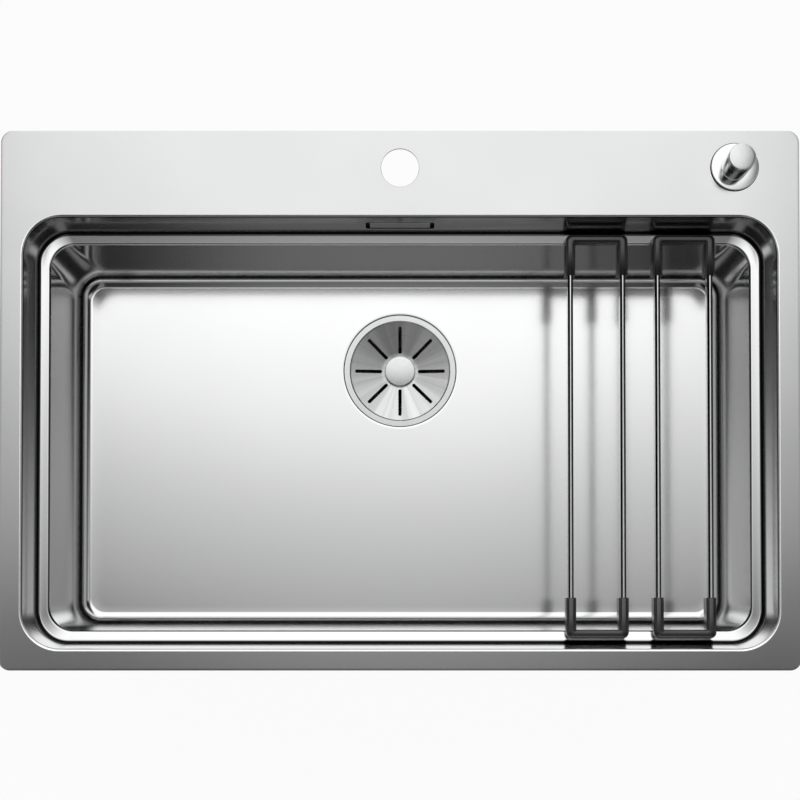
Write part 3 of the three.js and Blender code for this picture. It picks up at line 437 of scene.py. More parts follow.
def box2d(width, height, corner, x=0, y=0):
    w, h = width / 2, height / 2
    return rounded([(x + w, y + h), (x - w, y + h), (x - w, y - h), (x + w, y - h)], corner, 5)


def circle2d(radius, steps, x=0, y=0, start=0.0):
    return arc2d(radius, fullTurn(steps, start), x, y)


def band2d(inner, outer, low, high):
    return [(inner, low), (outer, low), (outer, high), (inner, high)]


def threaded(radius, low, high, pitch, depth):
    count = int((high - low) / pitch)
    line = []
    for k in range(count):
        z = low + k * pitch
        line += [(radius, z), (radius - depth, z + pitch / 2)]
    return line + [(radius, low + count * pitch)]


def clamp(value, high=1.0):
    return min(high, max(0.0, value))


def stand(piece, body, node):
    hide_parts(node)
    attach(piece, body)


# sink: deck and stepped bowl pressed from one sheet

sinkSizes = {
    "halfX": 370, "halfY": 250, "corner": 11, "top": 3, "bevel": 0.45, "foot": 0.3, "sheet": 1.0,
    "bowlX": 351, "bowlY": 202, "bowlMiddle": -30, "rimCorner": 37, "rimRound": 2.2,
    "ledgeDepth": 50, "ledgeStart": 10.3, "ledgeEnd": 16.6, "ledgeFall": 0.68, "ledgeCorner": 27,
    "shoulderCorner": 24, "creaseRound": 4, "ledgeRound": 2, "wallFoot": 24.5, "footCorner": 22,
    "footRound": 11.7, "floorCorner": 14, "depth": 190, "cornerSteps": 22,
    "wasteY": 51, "plateau": 76, "recess": 57.6, "recessDepth": 2.7, "hole": 54.4,
    "tapY": 215.5, "tapHole": 17.5, "tapEdge": 0.7, "controlAt": (310, 216, 0), "controlHole": 14,
    "slotWidth": 64.5, "slotHeight": 19.5, "slotCorner": 3, "slotAt": (0, 167.385, -25), "wallRun": (4.1, 43.8),
}
floorZ = sinkSizes["top"] - sinkSizes["depth"]
wasteAt = (0, sinkSizes["wasteY"], 0)
wallLean = math.degrees(math.atan2(*sinkSizes["wallRun"]))


# one rounded rectangle of the loft, with how much shade is painted at its sides, its back and its front, its
# painted rim highlight, and its polish, which also paints the bowl lighter
def sheetRow(hx, hy, y, corner, z, rise=0.0, paintedShade=(0, 0, 0), rim=0.0, polishAndPaintedLight=0.0):
    return dict(hx=hx, hy=hy, y=y, corner=corner, z=z, rise=rise, paintedShade=paintedShade, rim=rim, polishAndPaintedLight=polishAndPaintedLight)


def deckRow(inset, z):
    s = sinkSizes
    return sheetRow(s["halfX"] - inset, s["halfY"] - inset, 0, s["corner"] - inset, z)


def bowlRow(inset, depth, corner, paintedShade=(0, 0, 0), rise=0.0, rim=0.0):
    s = sinkSizes
    return sheetRow(s["bowlX"] - inset, s["bowlY"] - inset, s["bowlMiddle"], corner, s["top"] - depth, rise, paintedShade,
                    rim, clamp((inset - 1) / 2))


def wasteRow(radius, z, paintedShade=0.0):
    return sheetRow(radius, radius, sinkSizes["wasteY"], radius, z, paintedShade=(paintedShade,) * 3, polishAndPaintedLight=1.0)


def between(start, end, share):
    return start + (end - start) * share


def paintedBendShade(angle, strength, middle, width):  # painted shade, darkest at the middle angle of a bend
    return clamp(strength * (1 - abs(math.degrees(angle) - middle) / width))


def wetRows():  # from the deck's foot over the rim and the ledge down to the waste hole
    s = sinkSizes
    fall, crease, edge, rim = s["ledgeFall"], s["creaseRound"], s["ledgeRound"], s["rimRound"]
    rows = [deckRow(0, s["foot"]), deckRow(0, 1.2)]
    for a in sweepAngles(0, 90, 3):
        rows.append(deckRow(s["bevel"] * (1 - math.cos(a)), s["top"] - s["bevel"] * (1 - math.sin(a))))
    rows.append(deckRow(2.5, s["top"]))
    rows += [bowlRow(-out, 0, s["rimCorner"] + out) for out in (2.5, 0.4)]
    for a in sweepAngles(90, 0, 8):
        degrees, drop = math.degrees(a), rim * (1 - math.sin(a))
        # the rim's rounding gets a painted highlight, and painted shade at its sides and back
        lit, dark = clamp((degrees - 40) / 15), clamp((52 - degrees) / 12, 0.9)
        rows.append(bowlRow(rim * math.cos(a), drop, s["rimCorner"] - drop, (dark, dark, 0), rim=lit))

    creaseTop, wallEnd, wallCorner = s["ledgeDepth"] - crease, s["ledgeStart"] - crease, rows[-1]["corner"]
    for share in (0.06, 0.94):
        rows.append(bowlRow(between(rim, wallEnd, share), between(rim, creaseTop, share),
                            between(wallCorner, s["ledgeCorner"] + crease, share)))
    # painted shade along the crease above the ledge
    for a in sweepAngles(0, 90, 8):
        out = crease * math.cos(a)
        rows.append(bowlRow(s["ledgeStart"] - out, creaseTop + crease * math.sin(a), s["ledgeCorner"] + out,
                            (paintedBendShade(a, 1.9, 40, 44),) * 3))

    ledgeLow = s["ledgeDepth"] + fall
    rows.append(bowlRow(s["ledgeEnd"] - 0.5, ledgeLow - 0.03, s["shoulderCorner"] + 0.4, rise=fall - 0.03))
    # painted shade at the ledge's edge, at the sides and the front
    for a in sweepAngles(90, 0, 6):
        paintedShade = paintedBendShade(a, 1.6, 40, 38)
        rows.append(bowlRow(s["ledgeEnd"] + edge * math.cos(a), ledgeLow + edge * (1 - math.sin(a)),
                            s["shoulderCorner"], (paintedShade, 0, paintedShade), fall))

    footTop, foot = s["depth"] - s["footRound"], s["footRound"]
    for share in (0.04, 0.97):
        rows.append(bowlRow(between(s["ledgeEnd"] + edge, s["wallFoot"], share),
                            between(ledgeLow + edge, footTop, share),
                            between(s["shoulderCorner"], s["footCorner"], share), rise=fall * (1 - share)))
    # painted shade along the wall's foot
    for a in sweepAngles(0, 90, 14):
        lean = 1 - math.cos(a)
        rows.append(bowlRow(s["wallFoot"] + foot * lean, s["depth"] - foot * (1 - math.sin(a)),
                            between(s["footCorner"], s["floorCorner"], lean), (paintedBendShade(a, 1.9, 24, 22),) * 3))
    rows.append(bowlRow(s["wallFoot"] + foot + 6, s["depth"], s["floorCorner"] - 2))

    recess, low = s["recess"], floorZ - s["recessDepth"]
    rows += [wasteRow(radius, floorZ) for radius in (s["plateau"], recess + 3.2, recess + 2.6, recess + 0.5)]
    # painted shade on the recess wall round the strainer
    rows += [wasteRow(recess + 0.12, floorZ - 0.15), wasteRow(recess, floorZ - 0.5, 0.3),
             wasteRow(recess, low + 0.4, 0.6), wasteRow(recess - 0.4, low, 0.5), wasteRow(s["hole"], low)]
    return rows


def dryRows(wet):  # the sheet's other side, one thickness away, bare of any painted shade or highlight
    points = [Vector((row["hx"], row["z"])) for row in wet]
    result = []
    for i, row in enumerate(wet):
        before = points[i] - points[i - 1] if i else points[1] - points[0]
        after = points[i + 1] - points[i] if i + 1 < len(points) else before
        first = Vector((-before.y, before.x)).normalized()
        second = Vector((-after.y, after.x)).normalized()
        step = (first + second) / (1 + first.dot(second)) * sinkSizes["sheet"]
        result.append(sheetRow(row["hx"] + step.x, row["hy"] + step.x, row["y"], max(0.5, row["corner"] + step.x),
                               row["z"] + step.y, row["rise"]))
    return result


def rowLoop(row):
    steps = sinkSizes["cornerSteps"]
    corner, rise, z = row["corner"], row["rise"], row["z"]
    lead = 90 / (steps + 2) if row["hx"] == corner else 0
    loop = []
    for quarter, (sx, sy) in enumerate(((1, 1), (-1, 1), (-1, -1), (1, -1))):
        sideX, sideY = ((1, 0), (0, 1), (-1, 0), (0, -1))[quarter]
        loop.append((sideX * row["hx"], row["y"] + sideY * row["hy"], z + rise * abs(sideX)))
        cx, cy = sx * (row["hx"] - corner), row["y"] + sy * (row["hy"] - corner)
        for k in range(steps + 1):
            a = math.radians(90 * quarter + lead + (90 - 2 * lead) * k / steps)
            loop.append((cx + corner * math.cos(a), cy + corner * math.sin(a), z + rise * math.cos(a) ** 2))
    return loop


def shadeSheet(piece, rows, loops):  # painted shade at folds, a painted highlight on the rim, the bowl's polish with its lighter painted colour; side walls and corners without grain
    marks = {"paintedShade": [], "polishAndPaintedLight": [], "rim": [], "plain": []}
    for i, (row, loop) in enumerate(zip(rows, loops)):
        side, back, front = row["paintedShade"]
        above, below = rows[i - 1], rows[(i + 1) % len(rows)]
        wall = abs(above["z"] - below["z"]) > 2 * abs(above["hx"] - below["hx"])
        for x, y, z in loop:
            past = clamp((abs(y - row["y"]) - row["hy"] + row["corner"]) / max(0.5, row["corner"]))
            marks["paintedShade"].append(between(side, back if y > row["y"] else front, past))
            marks["polishAndPaintedLight"].append(row["polishAndPaintedLight"])
            marks["rim"].append(row["rim"])
            marks["plain"].append(1 - past ** 4 if wall else 0.0)
    for label, values in marks.items():
        paint(piece, label, values)


def makeSink():
    s = sinkSizes
    wet = wetRows()
    rows = wet + dryRows(wet)[::-1]
    loops = [rowLoop(row) for row in rows]
    verts, rings, faces = [], [], []
    for loop in loops:
        rings.append(following(verts, len(loop)))
        verts += loop
    for one, two in zip(rings, rings[1:] + rings[:1]):
        faces += bridge(one, two)
    piece = newPiece("sinkShell", verts, faces, sinkSteel, sharp=30)
    shadeSheet(piece, rows, loops)
    tap, edge, control = s["tapHole"], s["tapEdge"], s["controlHole"]
    tapHole = lathe("tapCutter", [(0, -4), (tap, -4), (tap, 1.6), (tap, 2.5), (tap + edge, 2.5 + edge),
                                  (tap + edge, 8), (0, 8)], sinkSteel, (0, s["tapY"], 0), 96, 0)
    controlHole = lathe("controlCutter", band2d(0, control, -4, 8), sinkSteel, s["controlAt"], 48, 0)
    slot = prism("slotCutter", box2d(s["slotWidth"], s["slotHeight"], s["slotCorner"]), -5, 6, sinkSteel,
                 axis="Y")
    onBackWall(slot)
    combine(piece, [tapHole, controlHole, slot], "DIFFERENCE", 30)
    evenShading(piece)
    stand(piece, "sink", "sink_body")


def onBackWall(piece):  # drawn upright at the origin, facing -Y, then set on the leaning wall
    place(piece, offset(sinkSizes["slotAt"]) @ Matrix.Rotation(math.radians(-wallLean), 4, "X"))


makeSink()
print("sink made")


# overflow: cover, housing behind the wall, pipe down to the waste

overflowSizes = {"width": 57, "height": 14.5, "thick": 1.5, "corner": 1.2, "clipX": 18, "clipEnd": 19.3,
                 "boxWidth": 84, "boxHeight": 34, "boxFront": 3.6, "boxBack": 21.6, "boxWall": 2, "boxRim": 4,
                 "spigotTop": -31, "spigotBore": 10.5, "pipe": 12.5, "pipeBore": 10.8, "pipeY": 184,
                 "pipeTop": -72, "bend": 35, "lowZ": floorZ - 98, "portY": 101}


def makeOverflow():
    o = overflowSizes
    cover = prism("overflowCover", box2d(o["width"], o["height"], o["corner"]), 0, o["thick"], sinkSteel,
                  axis="Y", bevel=0.35)
    settle(cover)
    combine(cover, [prism("clip", box2d(5, 8, 0.5, x), 1, o["clipEnd"], sinkSteel, axis="Y")
                    for x in (-o["clipX"], o["clipX"])])
    evenShading(cover)
    onBackWall(cover)
    stand(cover, "sink", "overflow_cover")

    y, low, bend, top, rim = o["pipeY"], o["lowZ"], o["bend"], o["pipeTop"], 2 * o["boxRim"]
    box = prism("overflowHousing", box2d(o["boxWidth"], o["boxHeight"], 5), o["boxFront"], o["boxBack"],
                greyPlastic, axis="Y", bevel=0.8)
    settle(box)
    onBackWall(box)
    spigot = lathe("spigot", band2d(0, o["pipe"], top + 0.3, o["spigotTop"]), greyPlastic, (0, y, 0), 64, 1.5)
    hollow = prism("hollow", box2d(o["boxWidth"] - rim, o["boxHeight"] - rim, 4), 0, o["boxBack"] - o["boxWall"],
                   greyPlastic, axis="Y")
    onBackWall(hollow)
    bore = lathe("bore", band2d(0, o["spigotBore"], top - 5, o["spigotTop"] - 3), greyPlastic, (0, y, 0), 64, 0)
    combine(box, [spigot])
    combine(box, [hollow, bore], "DIFFERENCE")
    evenShading(box)
    stand(box, "sink", "overflow_housing")

    path = [(y, top)]
    for k in range(25):
        t = k / 24
        path.append((y - bend * t ** 2, (1 - t) ** 2 * (low + bend) + 2 * t * (1 - t) * low + t ** 2 * low))
    path.append((o["portY"] + 0.3, low))
    pipe = tube("overflowPipe", path, o["pipe"], o["pipeBore"], greyPlastic, 48)
    stand(pipe, "sink", "overflow_pipe")

    for name, node, at, tilt in (("overflowNutUpper", "overflow_nut_upper", (0, y, top), 0),
                                 ("overflowNutLower", "overflow_nut_lower", (0, o["portY"], low), 90)):
        nut = lathe(name, [(12.6, -8.9), (16.8, -8.9), (17.4, -7), (17.4, 7), (16.8, 8.9), (12.6, 8.9)],
                    greyPlastic, at, 64, 0.6)
        combine(nut, around(8, "rib", box2d(2.2, 3.4, 0.7, 17.4), -7.6, 7.6, greyPlastic, at, 0.4))
        if tilt:
            turnPiece(nut, "X", tilt, at)
        stand(nut, "sink", node)


makeOverflow()
print("overflow made")


# waste: cup, locknut, housing and lifting linkage

wasteSizes = {"neck": 53.9, "flange": 56.9, "cupEnd": floorZ - 58, "nutTop": floorZ - 6.3,
              "gasketTop": floorZ - 4, "nutOut": 62, "nutHigh": 12, "cupTail": 20, "cupWall": 1.2,
              "housing": 25.5, "housingBore": 22.5, "housingTop": floorZ - 50, "housingFoot": floorZ - 112,
              "outlet": 20, "outletBore": 17.5, "outletEnd": floorZ - 130,
              "leverAt": (0, 37, floorZ - 80), "restDrop": 16.6, "stemEnd": floorZ - 46}


def makeWaste():
    w = wasteSizes
    top, cupEnd, neck, flange, tail = floorZ - 1.5, w["cupEnd"], w["neck"], w["flange"], w["cupTail"]
    outer = tail + w["cupWall"]
    cup = lathe("drainCup", [
        (flange, top), (neck - 1, top), (neck - 1, floorZ - 24), (tail + 4, floorZ - 40), (tail, floorZ - 43),
        (tail, cupEnd), (outer, cupEnd), (outer, floorZ - 43.6), (neck, floorZ - 24.4), (neck, top - 0.9),
        (flange, top - 0.9)],
        cupSteel, wasteAt, 128, [0.3, 0.6, 6, 5, 3, 0.2, 0.2, 3, 6, 0.5, 0.2])
    guide = lathe("guide", band2d(3.3, 6, cupEnd + 2, cupEnd + 10), cupSteel, wasteAt, 48, 0.2)
    arms = around(3, "arm", box2d(2.4, 5, 0.4, 0, cupEnd + 5), 4.5, 20.6, cupSteel, wasteAt, axis="X")
    combine(cup, [guide, *arms])
    stand(cup, "sink", "drain_cup")

    top = w["gasketTop"]
    gasket = lathe("drainGasket", band2d(54.2, 58.4, top - 2, top), blackRubber, wasteAt, 96, 0.4)
    stand(gasket, "sink", "drain_gasket")

    top, out = w["nutTop"], w["nutOut"]
    low = top - w["nutHigh"]
    nut = lathe("drainLocknut", [(54.3, low), (out - 1.4, low), (out, low + 1.6), (out, top), (54.3, top)],
                greyPlastic, wasteAt, 128, 0.6)
    combine(nut, around(6, "lug", box2d(8, 9, 1.4, out + 1), low, top - 2, greyPlastic, wasteAt, 0.7))
    stand(nut, "sink", "drain_locknut")

    high, foot, end, bore = w["housingTop"], w["housingFoot"], w["outletEnd"], w["housingBore"]
    housing = lathe("wasteHousing", [
        (bore, high), (bore, foot + 3), (w["outletBore"], foot - 2), (w["outletBore"], end), (w["outlet"], end),
        (w["outlet"], foot - 4), (w["housing"], foot), (w["housing"], high)], greyPlastic, wasteAt, 96,
        [0.3, 1.2, 1.2, 0.3, 0.5, 1.5, 1.5, 0.3])
    port = lathe("port", band2d(0, overflowSizes["pipe"], 20, 49.8), greyPlastic, steps=64)
    shift(turnPiece(port, "X", -90), (0, wasteAt[1], overflowSizes["lowZ"]))
    gland = lathe("gland", band2d(4.35, 8, 14, 42), greyPlastic, steps=48, soft=0.5)
    shift(turnPiece(gland, "Y", 90), w["leverAt"])
    inside = lathe("inside", band2d(0, bore - 0.1, foot + 3, high - 1), greyPlastic, wasteAt, 96, 0)
    turnPiece(inside, "Z", 1.1, wasteAt)  # its corners stay off the housing's own
    combine(housing, [port, gland])
    combine(housing, [inside], "DIFFERENCE")
    stand(housing, "sink", "waste_housing")

    coupling = lathe("wasteCouplingNut", [
        (21.7, high + 0.3), (21.7, high + 2.3), (29.5, high + 2.3), (31, high + 0.8), (31, high - 12.6),
        (30, high - 14), (26, high - 14), (26, high + 0.3)], greyPlastic, wasteAt, 96, 0.5)
    combine(coupling, around(6, "rib", box2d(4, 5, 1, 31.5), high - 13, high + 1, greyPlastic, wasteAt, 0.6))
    stand(coupling, "sink", "waste_coupling_nut")


def makeLinkage():
    w = wasteSizes
    axisAt, stemEnd = w["leverAt"], w["stemEnd"]
    tipTop = axisAt[2] - 14 * math.sin(math.radians(w["restDrop"])) + 2.5
    pin = lathe("lifterPin", [(0, tipTop + 0.3), (4.5, tipTop + 0.3), (4.5, tipTop + 3.3), (2.9, tipTop + 3.3),
                              (2.9, stemEnd - 0.3), (0, stemEnd - 0.3)], turnedBrass, wasteAt, 48, 0.4)
    stand(pin, "lifter", "lifter_pin")

    finger = prism("leverFinger", circle2d(7, 32), -3, 3, zincPlate, axis="X", bevel=0.3)
    settle(finger)
    tip = prism("tip", circle2d(2.5, 24, 14), -3, 3, zincPlate, axis="X")
    web = prism("web", box2d(14, 3, 0.5, 7, -1), -3, 3, zincPlate, axis="X")
    combine(finger, [tip, web])
    shift(turnPiece(finger, "X", -w["restDrop"]), axisAt)
    stand(finger, "lever", "lever_finger")

    shaft = lathe("leverShaft", band2d(0, 4, -5, 54), zincPlate, steps=40, soft=0.5)
    shift(turnPiece(shaft, "Y", 90), axisAt)
    stand(shaft, "lever", "lever_shaft")

    outline = arc2d(8, sweepAngles(0, 180, 16)) + arc2d(4.5, sweepAngles(180, 360, 12), 0, -20)
    crank = prism("leverCrank", outline, 46, 50, zincPlate, axis="X", bevel=0.5)
    settle(crank)
    combine(crank, [prism("eye", circle2d(1.5, 24, 0, -20), 40, 56, zincPlate, axis="X")], "DIFFERENCE")
    shift(crank, axisAt)
    stand(crank, "lever", "lever_crank")


makeWaste()
makeLinkage()
print("waste and linkage made")


# strainer: spun dish with eight slots, centre knob, stem and seal

strainerSizes = {"edge": 57.1, "rim": 50.8, "rimStep": 1.3, "sheet": 0.9, "deep": 6, "bend": 20, "bendRise": 0.4,
                 "flat": 15, "slotFrom": 18.4, "slotTo": 46.0, "slotWide": 3.5, "slots": 8, "knob": 15.2,
                 "knobLow": 7.7, "knobHeight": 7.5, "plate": floorZ - 41.5, "sealTop": floorZ - 36}


def makeStrainer():
    s = strainerSizes
    top, edge = floorZ - 0.2, s["edge"]
    low = top - s["deep"]
    line = rounded([(edge, top - 0.7), (edge, top), (s["rim"] + 0.6, top), (s["rim"], top - s["rimStep"]),
                    (s["bend"], low + s["bendRise"]), (s["flat"], low), (5, low)],
                   [0, 0.3, 0.4, 1.2, 6, 2, 0], 5, closed=False)
    back = [(r, z - s["sheet"] if r < edge - 0.4 else top - s["sheet"]) for r, z in line[::-1]]
    dish = lathe("strainerDish", line + back, [dishSteel, knobTopSteel], wasteAt, 160, 0, sharp=40,
                 bands=lambda radius, z: radius > s["rim"])
    near, far, wide = s["slotFrom"], s["slotTo"], s["slotWide"]
    slot = box2d(far - near, wide, wide / 2 - 0.02, (near + far) / 2)
    slots = around(s["slots"], "slot", slot, floorZ - 24, floorZ + 4, dishSteel, wasteAt)
    combine(dish, slots, "DIFFERENCE", 40)
    evenShading(dish)
    stand(dish, "strainer", "strainer_dish")

    foot = top - s["knobLow"]
    high, r = foot + s["knobHeight"], s["knob"]
    knob = lathe("strainerKnob", [
        (0, foot), (r - 0.9, foot), (r - 0.9, foot + 1.2), (r - 0.9, foot + 2.6), (r - 0.4, high - 1.8),
        (r, high - 1.1), (r, high - 0.35), (r - 0.35, high), (0, high - 0.1)], [polishedChrome, knobTopSteel],
        wasteAt, 128, [0, 0, 0, 1, 0.5, 0.4, 0.2, 0.3, 0],
        bands=lambda radius, z: z > high - 0.3 and radius < r - 0.5)
    stand(knob, "strainer", "strainer_knob")

    plate, stemEnd = s["plate"], wasteSizes["stemEnd"]
    stem = lathe("strainerStem", [
        (0, stemEnd), (4, stemEnd), (4, plate), (18, plate), (18, plate + 1.3), (4, plate + 1.3), (4, low),
        (0, low)], turnedBrass, wasteAt, 64, 0.3)
    stand(stem, "strainer", "strainer_stem")
    top = s["sealTop"]
    seal = lathe("strainerSeal", [
        (4.3, top - 3.9), (23.4, top - 3.9), (27.2, top - 1.2), (27.2, top), (4.3, top)], blackRubber,
        wasteAt, 96, 0.5)
    stand(seal, "strainer", "strainer_seal")


makeStrainer()
print("strainer made")


# control: upright knob on its base plate, sleeve and cable housing below the deck

controlSizes = {"radius": 12.5, "top": 45, "plate": 22.5, "plateTop": 5.6, "sleeve": 13.55, "housingTop": -28.3,
                "housingEnd": -50, "glandZ": -39, "glandTurn": -30}


def makeControl():
    c = controlSizes
    at = sinkSizes["controlAt"]
    high, r = c["top"], c["radius"]
    dome = [((r - 0.9) * (1 - t), high - 0.35 * (1 - t) ** 2) for t in (0.0, 0.2, 0.4, 0.6, 0.8, 1.0)]
    profile = [(4.3, 5.9), (r - 0.5, 5.9), (r, 6.5), (r, high - 1.4), (r - 0.25, high - 0.7), *dome, (0, 27.3),
               (4.3, 27.3)]
    knob = lathe("controlKnob", profile, [polishedChrome, knobTopSteel], at, 128,
                 [0.1, 0.2, 0.3, 0.3, 0.2, 0.1] + [0] * 6 + [0.1],
                 bands=lambda radius, z: z > high - 0.36 and radius < r - 0.8)
    stand(knob, "control", "control_knob")

    plate, top = c["plate"], c["plateTop"]
    edge = plate - 0.7
    rosette = lathe("controlRosette", [
        (9, 3.3), (plate, 3.3), (plate, 3.9), (edge, 3.9), (edge, top - 0.5), (edge - 0.5, top), (9, top)],
        [polishedChrome, blackRubber], at, 128, [0, 0.2, 0.2, 0, 0.2, 0.3, 0],
        bands=lambda radius, z: z < 3.95 and radius > 20)
    stand(rosette, "sink", "control_rosette")

    wide = c["sleeve"]
    sleeve = lathe("controlSleeve", [(4.4, -28), *threaded(wide, -28, 1.8, 1.2, 0.5), (wide, 3), (8.6, 3),
                                     (8.6, 5.2), (4.4, 5.2)], turnedBrass, at, 64, 0)
    stand(sleeve, "sink", "control_sleeve")
    nut = prism("controlLocknut", circle2d(20.4, 6, start=math.pi / 6), -9.1, -2.1, turnedBrass, at, bevel=0.6)
    settle(nut)
    combine(nut, [prism("bore", circle2d(wide + 0.4, 48), -14, 4, turnedBrass, at)], "DIFFERENCE")
    stand(nut, "sink", "control_locknut")

    top, end, bore = c["housingTop"], c["housingEnd"], wide + 0.4
    housing = lathe("cableHousing", [
        (bore, top + 8), (bore, top), (4.5, top), (4.5, top - 2.2), (14.6, top - 2.2), (14.6, end + 2),
        (4.5, end + 2), (4.5, end), (16, end), (17, end + 1.4), (17, top + 7), (16.2, top + 8)],
        housingBlack, at, 72, 0.4)
    gland = lathe("gland", [(2.6, 15), (4.5, 15), (4.5, 21), (4.0, 21.6), (4.5, 22.2), (4.5, 25.4), (3.9, 26),
                            (2.6, 26)], housingBlack, steps=40, soft=0.2)
    turnPiece(turnPiece(gland, "X", 90), "Z", c["glandTurn"])
    shift(gland, (*at[:2], c["glandZ"]))
    combine(housing, [gland])
    stand(housing, "sink", "cable_housing")


makeControl()
print("control made")


# rails: two steel bars in U-shaped shoes that stand on the ledge

railSizes = {"left": 186, "right": 268.5, "middle": -30, "half": 191, "spacing": 49.5, "barThick": 5,
             "barHeight": 16.5, "barLip": 4, "top": -32.7, "barDrop": 2.3, "legWide": 9.4, "crossWide": 8.4,
             "legDeep": 21, "crossDeep": 14, "legLength": 38.5, "outerCorner": 6, "innerCorner": 1.2,
             "roundHeight": 4.6, "crown": 3.3}


def shoeStations():  # outer point, inner point, depth, and how much the section shrinks at the very end
    r = railSizes
    outer, inner = r["spacing"] / 2 + r["legWide"] / 2, r["spacing"] / 2 - r["legWide"] / 2
    legEnd, crossIn, far = r["half"] - r["legLength"], r["half"] - r["crossWide"], r["half"]
    leg, cross, p, q = r["legDeep"], r["crossDeep"], r["outerCorner"], r["innerCorner"]
    halves = []
    for side in (1, -1):
        line = [((side * outer, y), (side * inner, min(y, crossIn - q)), deep, shrink) for y, deep, shrink in (
            (legEnd, leg, 0.5), (legEnd + 0.15, leg, 0.15), (legEnd + 0.5, leg, 0), (crossIn - 2, leg, 0),
            (crossIn - 0.2, leg, 0), (crossIn + 0.2, cross, 0))]
        for a in sweepAngles(0, 90, 10)[1:-1]:
            line.append(((side * (outer - p + p * math.cos(a)), far - p + p * math.sin(a)),
                         (side * (inner - q + q * math.cos(a)), crossIn - q + q * math.sin(a)), cross, 0))
        halves.append(line)
    return halves[0] + halves[1][::-1]


def makeShoe(name, x, end, node, body):
    r = railSizes
    verts, loops = [], []
    for outerPoint, innerPoint, deep, shrink in shoeStations():
        o, i = Vector(outerPoint), Vector(innerPoint)
        width = (o - i).length
        o, i = o.lerp(i, shrink / width), i.lerp(o, shrink / width)
        section = []
        for a in sweepAngles(0, 180, 20):
            crown = clamp(1 - abs(math.cos(a)) ** r["crown"]) ** (1 / r["crown"])
            section.append(((1 - math.cos(a)) / 2, -r["roundHeight"] * (1 - crown) - shrink))
        section += [(1, -deep + 0.9), (0.98, -deep + 0.25), (0.9, -deep + shrink), (0.1, -deep + shrink),
                    (0.02, -deep + 0.25), (0, -deep + 0.9)]
        loops.append(following(verts, len(section)))
        for t, v in section:
            point = i.lerp(o, t)
            verts.append((x + point.x, r["middle"] + end * point.y, r["top"] + v))
    faces = [tuple(loops[0]), tuple(loops[-1])]
    for one, two in zip(loops, loops[1:]):
        faces += bridge(one, two)
    stand(newPiece(name, verts, faces, blackPlastic, sharp=50), body, node)


def makeRail(body, x, title):
    r = railSizes
    top, h, half = r["top"] - r["barDrop"], r["barThick"] / 2, r["half"] - r["crossWide"] - 1
    lip = top - h - r["barLip"]
    for side, label in ((-1, "inner"), (1, "outer")):
        cx = x + side * r["spacing"] / 2
        outline = [(cx + h, lip), (cx + h, lip + 2.5), *arc2d(h, sweepAngles(0, 180, 24), cx, top - h),
                   (cx - h, lip + 2.5), (cx - h, lip),
                   *arc2d(h, sweepAngles(180, 360, 12), cx, top - r["barHeight"] + h)]
        bar = prism(title + "Bar" + label.capitalize(), outline, r["middle"] - half, r["middle"] + half, barSteel,
                    axis="Y")
        points = [v.co / mm for v in bar.data.vertices]
        paint(bar, "paintedShade", [clamp((abs(p.x - cx) / h - 0.26) / 0.16) if p.z > top - h - 0.1 else 0.0
                            for p in points])  # painted shade on the shoulders beside the bright crown
        stand(bar, body, body + "_bar_" + label)
    makeShoe(title + "ShoeBack", x, 1, body + "_shoe_back", body)
    makeShoe(title + "ShoeFront", x, -1, body + "_shoe_front", body)


makeRail("rail_left", railSizes["left"], "railLeft")
makeRail("rail_right", railSizes["right"], "railRight")
print("rails made")


# clamps under the deck: screws are new, hooks and rails keep their shape

clampPlaces = {"front_left": (-180, -245), "front_right": (180, -245), "left": (-364, -30), "right": (364, -30),
               "back_left": (-180, 244), "back_right": (170, 244)}
screwSizes = {"foot": -53, "headHigh": 3, "head": 4, "shaft": 2, "pitch": 0.9, "threadDeep": 0.3,
              "threadEnd": -32.4, "tip": 3.2, "top": -30.3, "slot": (12, 1.1)}


def makeClampScrews():
    c = screwSizes
    foot, neck, top = c["foot"], c["foot"] + c["headHigh"], c["top"]
    thread = threaded(c["shaft"], neck + 0.4, c["threadEnd"], c["pitch"], c["threadDeep"])
    profile = [(0, foot), (c["head"], foot), (c["head"], neck), (c["shaft"], neck), *thread,
               (c["tip"], top - 1.5), (c["tip"], top), (0, top)]
    for name, (x, y) in clampPlaces.items():
        screw = lathe("clampScrew_" + name, profile, zincPlate, (x, y, 0), 32, 0)
        slot = prism("slot", box2d(*c["slot"], 0.1), foot - 3, foot + 1.2, zincPlate, (x, y, 0))
        combine(screw, [slot], "DIFFERENCE")
        stand(screw, "sink", "clamp_screw_" + name)


makeClampScrews()

# nodes that keep their own shape get a finish, and soft edges where they are sheet or moulded
keptFinish = {
    "deck_seal": (blackRubber, 0), "sound_pad": (padBitumen, 0.6), "overflow_gasket": (blackRubber, 0),
    "cable_bracket": (housingBlack, 0.3), "cable_drum": (housingBlack, 0), "control_spindle": (turnedBrass, 0),
    "control_gasket": (blackRubber, 0), "control_washer": (zincPlate, 0), "clamp_rail": (zincPlate, 0.15),
    "clamp_hook": (zincPlate, 0.15),
}
for start, (finish, edge) in keptFinish.items():
    for node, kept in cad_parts.items():
        if node.startswith(start):
            kept.data.materials.clear()
            kept.data.materials.append(finish)
            if edge:
                soften(kept, edge)
print("hidden fittings finished")


# studio: pale floor, soft light, camera

studio = {"floorZ": -0.3195, "floorSize": 80.0, "floorColor": (0.93, 0.93, 0.93), "floorRough": 0.9,
          "floorGlow": 0.95}
cameraView = {"place": (0, -0.1948, 1.7375), "tilt": 1.542, "lens": 84.73, "shift": 0.2, "sensor": 36}

